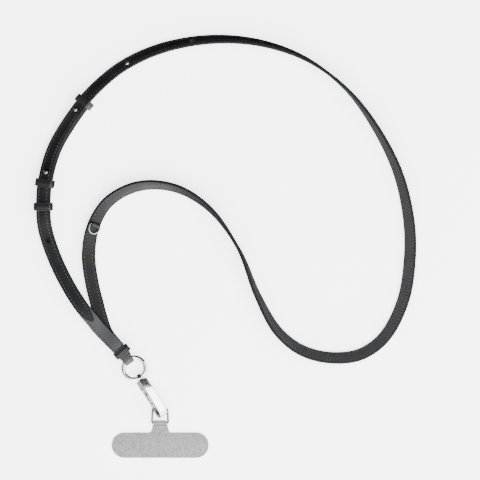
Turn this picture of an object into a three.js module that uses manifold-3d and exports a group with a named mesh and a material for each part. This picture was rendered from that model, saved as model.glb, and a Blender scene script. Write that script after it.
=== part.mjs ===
// Phone crossbody strap: a long leather strap with a punched tongue, a short strap with two studs,
// four keepers, a D-ring on its leather tab, an O-ring, a swivel snap hook, a wire bail and a phone tab.
// Millimetres, +Z up. The strap lies on a table, as a flat lay seen from above.
import * as THREE from 'three';
import { mergeVertices } from 'three/addons/utils/BufferGeometryUtils.js';
import Module from 'manifold-3d';

const wasm = await Module();
wasm.setup();

// Driving dimensions
const CLEARANCE = 0.3;
const LAY_WIDTH = 276.8;
const LAY_HEIGHT = 304.8;
const CUT_OVERRUN = 1;

const STRAP_WIDTH = 10;
const STRAP_THICK = 2.4;
const STRAP_EDGE = 0.45;
const TONGUE_TAPER = 15;
const TONGUE_TIP_RADIUS = 1.7;
const STRAP_STEP = 6;
const LOOSE_STEP = 4;
const TONGUE_STEP = 2.2;
const NECK_STEP = 1.5;

const FIRST_HOLE = 67;
const HOLE_PITCH = 50;
const HOLE_COUNT = 6;
const HOLE_WIDTH = 3;
const HOLE_LENGTH = 4.2;
const HOLE_OFFSET = 0.6;
const STUD_HOLES = [1, 2];

const STUD_NECK_RADIUS = 0.8;
const STUD_BALL_RADIUS = 2;
const STUD_BALL_SINK = 0.35;
const STUD_FLANGE_RADIUS = 2.6;
const STUD_FLANGE_THICK = 0.7;

const KEEPER_LENGTH = 5.6;
const KEEPER_WALL = 1.3;
const KEEPER_CORNER = 2;
const KEEPER_LEVEL_RUN = 1;
const UPPER_KEEPER_AT = 175;
const MIDDLE_KEEPER_AT = 109;
const LOWER_KEEPER_AT = 92;
const LIFT_REACH = 20;

const NECK_WIDTH = 9;
const NECK_RUN = 8;
const FOLD_WIDTH = 6.8;
const FOLD_THICK = 1.3;

const O_RING_RADIUS = 7.95;
const O_RING_WIRE = 1.35;

const D_RING_FROM_END = 98;
const D_RING_WIDTH = 9.4;
const D_RING_DEPTH = 7.4;
const D_RING_WIRE = 0.55;
const D_RING_CORNER = 0.8;
const D_TAB_THICK = 1;
const D_TWIST_ROOM = 0.5;

const EYE_WALL = 1;
const EYE_WIDTH = 2.6;
const EYE_POST_RADIUS = 1.1;
const EYE_HEAD_RADIUS = 1.7;
const EYE_HEAD_THICK = 1.4;
const EYE_PLAY = 0.1;
const SWIVEL_PLAY = 0.25;

const HOOK_HEADING = -58.5;
const HOOK_ROLL = 66;
const HOOK_LENGTH = 30.2;
const HOOK_WIDTH = 9.2;
const HOOK_DEPTH = 6.1;
const HOOK_WALL = 1.8;
const HOOK_BOW_RADIUS = 3.6;
const HOOK_HEAD_LENGTH = 7.4;
const HOOK_COLLAR = 3.3;
const HOOK_SHOULDER = 1.1;
const HOOK_SPINE_DROP = 1.1;
const HOOK_SPINE_FACET = 7.7;
const HOOK_GATE_DROP = 0.5;
const HOOK_WINDOW_CORNER = 1.2;

const GATE_THICK = 2;
const GATE_DEPTH = 5;
const GATE_LUG_DEPTH = 2.9;
const GATE_SETBACK = 9.4;
const GATE_CORNER = 0.3;
const GATE_LUG_RADIUS = 1.2;
const GATE_NECK_THICK = 1.6;
const GATE_PIN_RADIUS = 0.6;

const BAIL_WIRE = 0.75;
const BAIL_TOP_WIDTH = 12.2;
const BAIL_FOOT_WIDTH = 13.1;
const BAIL_REACH = 10.9;
const BAIL_SETBACK = 5.4;
const BAIL_OFFSET = 0.5;
const BAIL_CORNER = 1.4;

const TAB_WIDTH = 70;
const TAB_HEIGHT = 18.3;
const TAB_THICK = 1;
const TAB_STEM_WIDTH = 10.9;
const TAB_STEM_FLARE = 13.4;
const TAB_FOLD_WIDTH = 9.5;
const TAB_STEM_LENGTH = 6.8;
const TAB_LAP_LENGTH = 2.88;
const TAB_LAP_TURN = 144;

// What follows from the driving dimensions
const LAYER = STRAP_THICK + CLEARANCE;
const KEEPER_STAND = KEEPER_WALL + CLEARANCE;
const UP = new THREE.Vector3(0, 0, 1);

// The ring keeper's place, where both straps end, as shares of the lay.
const RING_KEEPER = { across: -0.269, up: -0.250 };

// The long strap's centreline from the tongue's tip, up the left side, over the top, down the right,
// back through the arch and down past the D-ring. across and up are shares of the lay's width and height
// from its middle, lean is how far the outer face tips to the left of the travel, in degrees, and layers
// is how many straps lie underneath.
const LONG_ROUTE = [
  { across: -0.343, up: -0.178, lean: 0, layers: 2 },
  { across: -0.373, up: -0.145, lean: 1, layers: 2 },
  { across: -0.414, up: -0.086, lean: 3, layers: 1.4 },
  { across: -0.448, up: -0.021, lean: 5, layers: 1 },
  { across: -0.470, up: 0.043, lean: 8, layers: 1 },
  { across: -0.474, up: 0.095, lean: 10, layers: 1 },
  { across: -0.470, up: 0.149, lean: 14, layers: 1 },
  { across: -0.445, up: 0.233, lean: 24, layers: 1 },
  { across: -0.376, up: 0.332, lean: 31, layers: 1 },
  { across: -0.323, up: 0.385, lean: 35, layers: 0.7 },
  { across: -0.262, up: 0.428, lean: 39, layers: 0 },
  { across: -0.167, up: 0.467, lean: 44, layers: 0 },
  { across: -0.040, up: 0.488, lean: 53, layers: 0 },
  { across: 0.090, up: 0.480, lean: 65, layers: 0 },
  { across: 0.212, up: 0.441, lean: 79, layers: 0 },
  { across: 0.316, up: 0.370, lean: 93, layers: 0 },
  { across: 0.394, up: 0.276, lean: 110, layers: 0 },
  { across: 0.451, up: 0.170, lean: 123, layers: 0 },
  { across: 0.479, up: 0.055, lean: 135, layers: 0 },
  { across: 0.480, up: -0.040, lean: 141, layers: 0 },
  { across: 0.462, up: -0.133, lean: 142, layers: 0 },
  { across: 0.413, up: -0.217, lean: 141, layers: 0 },
  { across: 0.350, up: -0.257, lean: 141, layers: 0 },
  { across: 0.271, up: -0.264, lean: 138, layers: 0 },
  { across: 0.196, up: -0.245, lean: 134, layers: 0 },
  { across: 0.136, up: -0.200, lean: 125, layers: 0 },
  { across: 0.085, up: -0.118, lean: 110, layers: 0 },
  { across: 0.036, up: -0.009, lean: 93, layers: 0 },
  { across: -0.040, up: 0.087, lean: 76, layers: 0 },
  { across: -0.128, up: 0.136, lean: 63, layers: 0 },
  { across: -0.222, up: 0.142, lean: 52, layers: 0 },
  { across: -0.301, up: 0.107, lean: 43, layers: 0 },
  { across: -0.342, up: 0.050, lean: 30, layers: 0 },
  { across: -0.356, up: -0.020, lean: 12, layers: 0 },
  { across: -0.347, up: -0.089, lean: 4, layers: 0 },
  { across: -0.335, up: -0.134, lean: 0, layers: 0 },
  { across: -0.324, up: -0.171, lean: 0, layers: 0 },
  { across: -0.309, up: -0.208, lean: 0, layers: 0 },
  { ...RING_KEEPER, lean: 0, layers: 0 },
];

// The short strap follows the tongue from below, and past its tip it goes on alone to the O-ring's wire.
const SHORT_ROUTE = [
  { across: -0.332, up: -0.191 },
  { across: -0.310, up: -0.212 },
  RING_KEEPER,
  { across: -0.254, up: -0.268 },
];

// Materials
const leather = new THREE.MeshStandardMaterial({ name: 'leather', color: '#2b2b2c', roughness: 0.5 });
const polish = { roughness: 0.2, metalness: 1 };
const steel = new THREE.MeshStandardMaterial({ name: 'steel', color: '#d5d6d8', ...polish });
const fleck = new THREE.MeshStandardMaterial({ name: 'fleck_grey', color: '#bdbdbe', roughness: 0.7 });

const degrees = (value) => THREE.MathUtils.degToRad(value);

// A closed geometry becomes a solid that can be cut and joined.
function toSolid(geometry) {
  const bare = geometry.clone();
  bare.deleteAttribute('normal');
  bare.deleteAttribute('uv');
  const merged = mergeVertices(bare, 1e-4);
  return new wasm.Manifold(new wasm.Mesh({
    numProp: 3,
    vertProperties: new Float32Array(merged.attributes.position.array),
    triVerts: new Uint32Array(merged.index.array),
  }));
}

function toGeometry(solid) {
  const { vertProperties, triVerts } = solid.getMesh();
  const geometry = new THREE.BufferGeometry();
  geometry.setAttribute('position', new THREE.BufferAttribute(vertProperties, 3));
  geometry.setIndex(new THREE.BufferAttribute(triVerts, 1));
  geometry.computeVertexNormals();
  return geometry;
}

function cut(body, ...tools) {
  return toGeometry(tools.reduce((solid, tool) => solid.subtract(toSolid(tool)), toSolid(body)));
}

function join(body, ...others) {
  return toGeometry(others.reduce((solid, other) => solid.add(toSolid(other)), toSolid(body)));
}

// Rings of points, each anticlockwise seen against the travel, become a skin: two ends, or a closed loop.
function loft(rings, closed = false) {
  const sides = rings[0].length;
  const index = [];
  const spans = closed ? rings.length : rings.length - 1;
  for (let ring = 0; ring < spans; ring += 1) {
    const next = (ring + 1) % rings.length;
    for (let side = 0; side < sides; side += 1) {
      const beside = (side + 1) % sides;
      const [a, b] = [ring * sides + side, ring * sides + beside];
      const [c, d] = [next * sides + beside, next * sides + side];
      index.push(a, b, c, a, c, d);
    }
  }
  if (!closed) {
    const last = (rings.length - 1) * sides;
    for (let side = 1; side < sides - 1; side += 1) {
      index.push(0, side + 1, side);
      index.push(last, last + side, last + side + 1);
    }
  }
  const geometry = new THREE.BufferGeometry();
  const places = rings.flat().flatMap((point) => point.toArray());
  geometry.setAttribute('position', new THREE.Float32BufferAttribute(places, 3));
  geometry.setIndex(index);
  geometry.computeVertexNormals();
  return geometry;
}

// A shape extruded to both sides of its plane
function extrudeThrough(shape, depth, curveSegments = 6) {
  const body = new THREE.ExtrudeGeometry(shape, { depth, bevelEnabled: false, curveSegments });
  return body.translate(0, 0, -depth / 2);
}

// One section of strap: a rectangle with its four edges broken.
function strapRing({ centre, across, face }, width, thick) {
  const edge = Math.min(STRAP_EDGE, width / 4, thick / 4);
  const [w, t] = [width / 2, thick / 2];
  const corners = [
    [-w + edge, -t], [w - edge, -t], [w, -t + edge], [w, t - edge],
    [w - edge, t], [-w + edge, t], [-w, t - edge], [-w, -t + edge],
  ];
  return corners.map(([a, b]) => centre.clone().addScaledVector(across, a).addScaledVector(face, b));
}

// A round wire along a closed line of points in one plane.
function wireLoop(points, radius, normal, sides = 8) {
  const rings = points.map((point, i) => {
    const before = points.at(i - 1);
    const after = points[(i + 1) % points.length];
    const side = normal.clone().cross(after.clone().sub(before)).normalize();
    return Array.from({ length: sides }, (_, k) => {
      const turn = (2 * Math.PI * k) / sides;
      const rim = point.clone().addScaledVector(side, radius * Math.cos(turn));
      return rim.addScaledVector(normal, radius * Math.sin(turn));
    });
  });
  return loft(rings, true);
}

const place = ({ across, up }) => new THREE.Vector3(across * LAY_WIDTH, up * LAY_HEIGHT, 0);

function smoothLine(points) {
  const line = new THREE.CatmullRomCurve3(points, false, 'centripetal');
  line.arcLengthDivisions = 40 * points.length;
  return line;
}

const longLine = smoothLine(LONG_ROUTE.map(place));
const longTurn = smoothLine(LONG_ROUTE.map((row) => new THREE.Vector3(row.lean, row.layers, 0)));
const LONG_LENGTH = longLine.getLength();
const TONGUE_KEEPERS = [UPPER_KEEPER_AT, MIDDLE_KEEPER_AT, LOWER_KEEPER_AT];
const SHORT_END = UPPER_KEEPER_AT + KEEPER_LENGTH / 2 + CLEARANCE;

// A strap rises by a keeper's stand-off where it passes through one, and comes down on both sides.
function liftAt(distance, keepers) {
  const flat = KEEPER_LENGTH / 2 + KEEPER_LEVEL_RUN;
  const rises = keepers.map((at) => {
    const away = Math.abs(distance - at) - flat;
    return 1 - THREE.MathUtils.smoothstep(away, 0, LIFT_REACH);
  });
  return KEEPER_STAND * Math.max(...rises);
}

// The frame of a strap at one point: its centre, the directions across it and out of its face.
function strapFrame(point, ahead, lean, layers, lift) {
  const left = new THREE.Vector3(-ahead.y, ahead.x, 0).normalize();
  const [sin, cos] = [Math.sin(lean), Math.cos(lean)];
  const across = left.clone().multiplyScalar(cos).addScaledVector(UP, -sin);
  const face = left.clone().multiplyScalar(sin).addScaledVector(UP, cos);
  const rest = (STRAP_WIDTH / 2) * Math.abs(sin) + (STRAP_THICK / 2) * Math.abs(cos);
  const height = rest + layers * LAYER * cos + lift * (Math.abs(sin) + Math.abs(cos));
  const centre = new THREE.Vector3(point.x, point.y, height);
  return { centre, across, face, ahead: across.clone().cross(face) };
}

function longFrame(distance) {
  const t = longLine.getUtoTmapping(0, distance);
  const { x: lean, y: layers } = longTurn.getPoint(t);
  const lift = liftAt(distance, [...TONGUE_KEEPERS, LONG_LENGTH]);
  return strapFrame(longLine.getPoint(t), longLine.getTangent(t), degrees(lean), layers, lift);
}

// The long strap widens from its small round tip, and narrows again to enter the ring keeper.
function longWidth(distance) {
  if (distance >= TONGUE_TAPER) {
    const narrow = LONG_LENGTH - KEEPER_LENGTH / 2;
    const narrowed = THREE.MathUtils.smoothstep(distance, LONG_LENGTH - NECK_RUN, narrow);
    return THREE.MathUtils.lerp(STRAP_WIDTH, NECK_WIDTH, narrowed);
  }
  const r = TONGUE_TIP_RADIUS;
  const round = distance < r ? Math.sqrt(r * r - (r - distance) ** 2) : r;
  const share = Math.max(0, (distance - r) / (TONGUE_TAPER - r));
  return 2 * round + (STRAP_WIDTH - 2 * r) * Math.sin((share * Math.PI) / 2);
}

function steps(from, to, step) {
  const count = Math.max(1, Math.round(Math.abs(to - from) / step));
  return Array.from({ length: count + 1 }, (_, i) => from + ((to - from) * i) / count);
}

// Long strap
const tipSteps = [0.06, 0.25, 0.55, 1].map((share) => share * TONGUE_TIP_RADIUS);
const tongueSteps = [...tipSteps, ...steps(TONGUE_TIP_RADIUS, TONGUE_TAPER, TONGUE_STEP).slice(1)];
const sharedSteps = [...tongueSteps, ...steps(TONGUE_TAPER, SHORT_END, STRAP_STEP).slice(1)];
const plainSteps = steps(SHORT_END, LONG_LENGTH - NECK_RUN, STRAP_STEP).slice(1);
const endSteps = steps(LONG_LENGTH - NECK_RUN, LONG_LENGTH - CLEARANCE / 2, NECK_STEP).slice(1);
const longSteps = [...sharedSteps, ...plainSteps, ...endSteps];

function orient(geometry, { centre, across, face, ahead }) {
  const basis = new THREE.Matrix4().makeBasis(ahead, across, face).setPosition(centre);
  return geometry.applyMatrix4(basis);
}

// A slot through the strap, longer along it than across.
function holeTool(frame, width, length, depth) {
  const tool = new THREE.CylinderGeometry(width / 2, width / 2, depth, 12).rotateX(Math.PI / 2);
  return orient(tool.scale(length / width, 1, 1), frame);
}

const holePlaces = Array.from({ length: HOLE_COUNT }, (_, i) => FIRST_HOLE + i * HOLE_PITCH);

// The row of holes runs a little to the inner side of the strap's middle.
function holeFrame(distance) {
  const frame = longFrame(distance);
  frame.centre.addScaledVector(frame.across, -HOLE_OFFSET);
  return frame;
}

function makeLongStrap() {
  const body = loft(longSteps.map((at) => strapRing(longFrame(at), longWidth(at), STRAP_THICK)));
  const holes = holePlaces.map((at) => holeTool(holeFrame(at), HOLE_WIDTH, HOLE_LENGTH, 3 * STRAP_THICK));
  return cut(body, ...holes);
}

// Short strap: under the tongue, on over the long strap's end, round the O-ring's wire and back.
function underTongue(distance) {
  const { centre, across, face } = longFrame(distance);
  return { centre: centre.clone().addScaledVector(face, -LAYER), across: across.clone().negate(), face };
}

const shortStart = [TONGUE_TAPER, 0].map((at) => underTongue(at).centre.clone().setZ(0));
const shortLine = smoothLine([...shortStart, ...SHORT_ROUTE.map(place)]);
const SHORT_LENGTH = shortLine.getLength();

function distanceOn(line, index) {
  const t = index / (line.points.length - 1);
  const lengths = line.getLengths();
  return lengths[Math.round(t * (lengths.length - 1))];
}

const shortTip = distanceOn(shortLine, 1);
const shortKeeper = distanceOn(shortLine, 4);

function shortFrame(distance) {
  const t = shortLine.getUtoTmapping(0, distance);
  return strapFrame(shortLine.getPoint(t), shortLine.getTangent(t), 0, 1, liftAt(distance, [shortKeeper]));
}

const foldInner = O_RING_WIRE + CLEARANCE;
const foldMiddle = foldInner + FOLD_THICK / 2;
const foldSag = O_RING_RADIUS - Math.sqrt(O_RING_RADIUS ** 2 - (FOLD_WIDTH / 2) ** 2);
const stackHeight = KEEPER_STAND + STRAP_THICK + CLEARANCE / 2;
const endFrame = shortFrame(SHORT_LENGTH);
const foldAhead = endFrame.ahead;
const wirePoint = endFrame.centre.clone().setZ(stackHeight);

// The loose part between the ring keeper and the fold, as a share of the way, for the upper or lower ply.
function plyFrame(share, side) {
  const from = shortKeeper + KEEPER_LENGTH / 2;
  const frame = shortFrame(from + (SHORT_LENGTH - from) * share);
  const spread = THREE.MathUtils.lerp(LAYER / 2, foldMiddle, Math.sin((share * Math.PI) / 2));
  const ahead = frame.ahead.clone().multiplyScalar(foldSag * share);
  frame.centre.add(ahead).setZ(stackHeight + side * spread);
  return { centre: frame.centre, across: frame.across, face: UP.clone().multiplyScalar(side) };
}

function plyRing(share, side) {
  const width = THREE.MathUtils.lerp(NECK_WIDTH, FOLD_WIDTH, share);
  const thick = THREE.MathUtils.lerp(STRAP_THICK, FOLD_THICK, Math.sin((share * Math.PI) / 2));
  return strapRing(plyFrame(share, side), width, thick);
}

function makeShortStrap() {
  const rings = [...sharedSteps].reverse().map((at) => strapRing(underTongue(at), STRAP_WIDTH, STRAP_THICK));
  const keeperNear = shortKeeper - KEEPER_LENGTH / 2;
  const keeperFar = shortKeeper + KEEPER_LENGTH / 2;
  steps(shortTip, keeperNear - KEEPER_LEVEL_RUN, LOOSE_STEP).slice(1).forEach((at) => {
    rings.push(strapRing(shortFrame(at), STRAP_WIDTH, STRAP_THICK));
  });
  [keeperNear, keeperFar].forEach((at) => rings.push(strapRing(shortFrame(at), NECK_WIDTH, STRAP_THICK)));
  const shares = [0.25, 0.5, 0.75, 1];
  shares.forEach((share) => rings.push(plyRing(share, 1)));
  const foldCentre = wirePoint.clone().addScaledVector(foldAhead, foldSag);
  for (let turn = 30; turn < 180; turn += 30) {
    const face = UP.clone().multiplyScalar(Math.cos(degrees(turn)));
    face.addScaledVector(foldAhead, Math.sin(degrees(turn)));
    const centre = foldCentre.clone().addScaledVector(face, foldMiddle);
    rings.push(strapRing({ centre, across: endFrame.across, face }, FOLD_WIDTH, FOLD_THICK));
  }
  [...shares].reverse().forEach((share) => rings.push(plyRing(share, -1)));
  [keeperFar, shortKeeper + CLEARANCE / 2].forEach((at) => {
    const frame = shortFrame(at);
    const centre = frame.centre.setZ(stackHeight - LAYER / 2);
    const under = { centre, across: frame.across, face: UP.clone().negate() };
    rings.push(strapRing(under, NECK_WIDTH, STRAP_THICK));
  });
  const necks = STUD_HOLES.map((hole) => {
    const width = 2 * (STUD_NECK_RADIUS + CLEARANCE);
    return holeTool(studFrame(hole), width, width, 3 * STRAP_THICK);
  });
  const recesses = STUD_HOLES.map((hole) => {
    const width = 2 * (STUD_FLANGE_RADIUS + CLEARANCE);
    return holeTool(studFrame(hole), width, width, 2 * (STUD_FLANGE_THICK + CLEARANCE));
  });
  return cut(loft(rings), ...necks, ...recesses);
}

// A stud stands on the short strap's underside: its flange is let in, its ball rests in the tongue's hole.
function studFrame(hole) {
  const frame = holeFrame(holePlaces[hole]);
  frame.centre.addScaledVector(frame.face, -LAYER - STRAP_THICK / 2);
  return frame;
}

function makeStud(hole) {
  const ballHeight = 2 * STRAP_THICK + CLEARANCE + STUD_BALL_RADIUS - STUD_BALL_SINK;
  const start = Math.asin(STUD_NECK_RADIUS / STUD_BALL_RADIUS);
  const profile = [
    new THREE.Vector2(0, 0),
    new THREE.Vector2(STUD_FLANGE_RADIUS, 0),
    new THREE.Vector2(STUD_FLANGE_RADIUS, STUD_FLANGE_THICK),
    new THREE.Vector2(STUD_NECK_RADIUS, STUD_FLANGE_THICK),
  ];
  for (let step = 0; step <= 6; step += 1) {
    const turn = start + ((Math.PI - start) * step) / 6;
    const [out, drop] = [STUD_BALL_RADIUS * Math.sin(turn), STUD_BALL_RADIUS * Math.cos(turn)];
    profile.push(new THREE.Vector2(out, ballHeight - drop));
  }
  profile.at(-1).x = 0;
  return orient(new THREE.LatheGeometry(profile, 14).rotateX(Math.PI / 2), studFrame(hole));
}

// Keepers
function roundedRectangle(width, height, corner, path = new THREE.Shape()) {
  const [w, h] = [width / 2, height / 2];
  const r = Math.min(corner, w, h);
  path.moveTo(-w + r, -h);
  path.lineTo(w - r, -h);
  path.absarc(w - r, -h + r, r, -Math.PI / 2, 0);
  path.lineTo(w, h - r);
  path.absarc(w - r, h - r, r, 0, Math.PI / 2);
  path.lineTo(-w + r, h);
  path.absarc(-w + r, h - r, r, Math.PI / 2, Math.PI);
  path.lineTo(-w, -h + r);
  path.absarc(-w + r, -h + r, r, Math.PI, 1.5 * Math.PI);
  return path;
}

function makeKeeper(frame, strapWidth) {
  const innerWidth = strapWidth + 2 * CLEARANCE;
  const innerHeight = STRAP_THICK + LAYER + 2 * CLEARANCE;
  const inner = KEEPER_CORNER - KEEPER_WALL;
  const shape = roundedRectangle(innerWidth + 2 * KEEPER_WALL, innerHeight + 2 * KEEPER_WALL, KEEPER_CORNER);
  shape.holes.push(roundedRectangle(innerWidth, innerHeight, inner, new THREE.Path()));
  const basis = new THREE.Matrix4().makeBasis(frame.across, frame.face, frame.ahead);
  return extrudeThrough(shape, KEEPER_LENGTH, 4).applyMatrix4(basis.setPosition(frame.centre));
}

function tongueKeeper(at) {
  const frame = longFrame(at);
  frame.centre.addScaledVector(frame.face, -LAYER / 2);
  return makeKeeper(frame, STRAP_WIDTH);
}

function ringKeeper() {
  const frame = shortFrame(shortKeeper);
  frame.centre.setZ(stackHeight);
  return makeKeeper(frame, NECK_WIDTH);
}

// D-ring: a straight bar across the strap with a round bow, hinged under its leather tab.
const dFrame = longFrame(LONG_LENGTH - D_RING_FROM_END);
const dBarHeight = STRAP_THICK / 2 + CLEARANCE + D_TWIST_ROOM + D_RING_WIRE;
const dHinge = dFrame.centre.clone().addScaledVector(dFrame.face, dBarHeight);
const dHalf = D_RING_WIDTH / 2 - D_RING_WIRE;
const dLeg = D_RING_DEPTH - 2 * D_RING_WIRE - dHalf;

function makeDRing() {
  const corner = D_RING_CORNER;
  const points = [];
  const arc = (x, y, radius, from, to, count) => {
    for (let i = 0; i <= count; i += 1) {
      const turn = degrees(from + ((to - from) * i) / count);
      points.push(new THREE.Vector3(x + radius * Math.cos(turn), y + radius * Math.sin(turn), 0));
    }
  };
  arc(corner, -dHalf + corner, corner, 180, 270, 3);
  arc(dLeg, 0, dHalf, -90, 90, 12);
  arc(corner, dHalf - corner, corner, 90, 180, 3);
  return wireLoop(points, D_RING_WIRE, UP);
}

function makeDTab() {
  const inner = D_RING_WIRE + CLEARANCE;
  const outer = inner + D_TAB_THICK;
  const foot = CLEARANCE + STRAP_THICK / 2 - dBarHeight;
  const shape = new THREE.Shape();
  shape.moveTo(outer, foot);
  shape.absarc(0, 0, outer, 0, Math.PI);
  shape.lineTo(-outer, foot);
  shape.lineTo(-inner, foot);
  shape.absarc(0, 0, inner, Math.PI, 0, true);
  shape.lineTo(inner, foot);
  const depth = D_RING_WIDTH - 4 * D_RING_WIRE - 2 * CLEARANCE;
  return extrudeThrough(shape, depth, 8).rotateX(Math.PI / 2);
}

// O-ring, seated in the fold and tipped up to the hook's height
const hookDirection = new THREE.Vector3(Math.cos(degrees(HOOK_HEADING)), Math.sin(degrees(HOOK_HEADING)), 0);
const roll = degrees(HOOK_ROLL);
const hookHeight = (HOOK_WIDTH / 2) * Math.sin(roll) + (HOOK_DEPTH / 2) * Math.cos(roll);
const ringRise = Math.asin((hookHeight - stackHeight) / (2 * O_RING_RADIUS));
const ringAhead = foldAhead.clone().setZ(Math.tan(ringRise)).normalize();
const ringCentre = wirePoint.clone().addScaledVector(ringAhead, O_RING_RADIUS);
const eyeCentre = ringCentre.clone().addScaledVector(hookDirection, O_RING_RADIUS).setZ(hookHeight);
const SWIVEL_REACH = O_RING_WIRE + CLEARANCE + SWIVEL_PLAY;

// Swivel eye: a flat band round the O-ring's wire, its post and the head that holds it in the hook.
// Its own X runs along the hook, from the middle of the eye.
const eyeInner = O_RING_WIRE + CLEARANCE + EYE_PLAY;
const eyeOuter = eyeInner + EYE_WALL;

function rodAlongX(radius, from, to, sides = 12) {
  const rod = new THREE.CylinderGeometry(radius, radius, to - from, sides).rotateZ(-Math.PI / 2);
  return rod.translate((from + to) / 2, 0, 0);
}

function makeSwivelEye() {
  const shape = new THREE.Shape();
  shape.absarc(0, 0, eyeOuter, 0, 2 * Math.PI);
  const hole = new THREE.Path();
  hole.absarc(0, 0, eyeInner, 0, 2 * Math.PI);
  shape.holes.push(hole);
  const band = extrudeThrough(shape, EYE_WIDTH, 16).rotateX(Math.PI / 2);
  const headFrom = SWIVEL_REACH + HOOK_COLLAR + CLEARANCE;
  const post = rodAlongX(EYE_POST_RADIUS, eyeInner + EYE_WALL / 2, headFrom + EYE_HEAD_THICK / 2);
  const head = rodAlongX(EYE_HEAD_RADIUS, headFrom, headFrom + EYE_HEAD_THICK);
  return join(band, post, head);
}

// Hook: its own X runs along it from the eye, Y from the gate to the spine, Z through the loop.
const hookHalf = HOOK_WIDTH / 2;
const gateInside = -hookHalf + GATE_THICK;
const gateEnd = HOOK_LENGTH - GATE_SETBACK;
const spineInside = hookHalf - HOOK_WALL;
const gateHinge = new THREE.Vector2(HOOK_HEAD_LENGTH - GATE_THICK / 2, -hookHalf + GATE_LUG_RADIUS);

function makeHookBody() {
  const r = HOOK_BOW_RADIUS;
  const round = HOOK_SHOULDER;
  const corner = HOOK_WINDOW_CORNER;
  const mouth = gateEnd + CLEARANCE;
  const windowEnd = HOOK_LENGTH - HOOK_WALL;
  const [gateFront, spineFront] = [-hookHalf + HOOK_GATE_DROP, hookHalf - HOOK_SPINE_DROP];
  const outline = new THREE.Shape();
  outline.moveTo(round, gateFront);
  outline.lineTo(HOOK_HEAD_LENGTH, -hookHalf);
  outline.lineTo(HOOK_HEAD_LENGTH, spineInside - corner);
  outline.absarc(HOOK_HEAD_LENGTH + corner, spineInside - corner, corner, Math.PI, Math.PI / 2, true);
  outline.lineTo(windowEnd - corner, spineInside);
  outline.absarc(windowEnd - corner, spineInside - corner, corner, Math.PI / 2, 0, true);
  outline.absarc(windowEnd - corner, gateInside + corner, corner, 0, -Math.PI / 2, true);
  outline.lineTo(mouth, gateInside);
  outline.lineTo(mouth, -hookHalf);
  outline.lineTo(HOOK_LENGTH - r, -hookHalf);
  outline.absarc(HOOK_LENGTH - r, -hookHalf + r, r, -Math.PI / 2, 0);
  outline.absarc(HOOK_LENGTH - r, hookHalf - r, r, 0, Math.PI / 2);
  outline.lineTo(HOOK_SPINE_FACET, hookHalf);
  outline.lineTo(round, spineFront);
  outline.absarc(round, spineFront - round, round, Math.PI / 2, Math.PI);
  outline.lineTo(0, gateFront + round);
  outline.absarc(round, gateFront + round, round, Math.PI, 1.5 * Math.PI);
  const eyeSwing = Math.hypot(eyeOuter, EYE_WIDTH / 2) + SWIVEL_PLAY;
  const dimple = new THREE.SphereGeometry(eyeSwing, 16, 12).translate(-SWIVEL_REACH, 0, 0);
  const bore = rodAlongX(EYE_POST_RADIUS + CLEARANCE, 0, HOOK_COLLAR + CUT_OVERRUN);
  const pocket = rodAlongX(EYE_HEAD_RADIUS + CLEARANCE, HOOK_COLLAR, HOOK_HEAD_LENGTH + CUT_OVERRUN);
  const slotSide = 2 * (GATE_LUG_RADIUS + CLEARANCE);
  const slot = new THREE.BoxGeometry(slotSide + CUT_OVERRUN, slotSide, GATE_LUG_DEPTH + 2 * CLEARANCE);
  slot.translate(gateHinge.x, gateHinge.y, 0);
  const pinBore = pinRod(GATE_PIN_RADIUS + CLEARANCE, HOOK_DEPTH + CUT_OVERRUN);
  return cut(extrudeThrough(outline, HOOK_DEPTH), dimple, bore, pocket, slot, pinBore);
}

function pinRod(radius, length, sides = 12) {
  const rod = new THREE.CylinderGeometry(radius, radius, length, sides).rotateX(Math.PI / 2);
  return rod.translate(gateHinge.x, gateHinge.y, 0);
}

function makeGate() {
  const start = HOOK_HEAD_LENGTH + 2 * CLEARANCE;
  const level = gateInside - GATE_THICK / 2;
  const bar = roundedRectangle(gateEnd - start, GATE_THICK, GATE_CORNER);
  const long = extrudeThrough(bar, GATE_DEPTH, 2).translate((start + gateEnd) / 2, level, 0);
  const lug = pinRod(GATE_LUG_RADIUS, GATE_LUG_DEPTH, 16);
  const reach = start + GATE_THICK / 2 - gateHinge.x;
  const neck = new THREE.BoxGeometry(reach, GATE_NECK_THICK, GATE_LUG_DEPTH);
  neck.translate(gateHinge.x + reach / 2, level, 0);
  return cut(join(long, lug, neck), pinRod(GATE_PIN_RADIUS + CLEARANCE, HOOK_DEPTH));
}

// Bail: a wire frame from the hook's bow down to the phone tab's fold, tipped to lie between them.
const foldRadius = BAIL_WIRE + CLEARANCE + TAB_THICK;
const hookStart = eyeCentre.clone().addScaledVector(hookDirection, SWIVEL_REACH);
const bailTop = hookStart.clone().addScaledVector(hookDirection, HOOK_LENGTH - BAIL_SETBACK);
bailTop.x += BAIL_OFFSET;
const bailDrop = bailTop.z - foldRadius;
const bailRun = Math.sqrt(BAIL_REACH ** 2 - bailDrop ** 2);
const bailTip = Math.atan2(bailDrop, bailRun);
const bailFoot = new THREE.Vector3(bailTop.x, bailTop.y - bailRun, foldRadius);

function makeBail() {
  const [top, foot] = [BAIL_TOP_WIDTH / 2 - BAIL_WIRE, BAIL_FOOT_WIDTH / 2 - BAIL_WIRE];
  const corner = BAIL_CORNER;
  const points = [];
  const bend = (x, y, from) => {
    for (let i = 0; i <= 4; i += 1) {
      const turn = degrees(from + (90 * i) / 4);
      points.push(new THREE.Vector3(x + corner * Math.cos(turn), y + corner * Math.sin(turn), 0));
    }
  };
  bend(foot - corner, -BAIL_REACH + corner, -90);
  bend(top - corner, -corner, 0);
  bend(-top + corner, -corner, 90);
  bend(-foot + corner, -BAIL_REACH + corner, 180);
  return wireLoop(points, BAIL_WIRE, UP);
}

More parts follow.
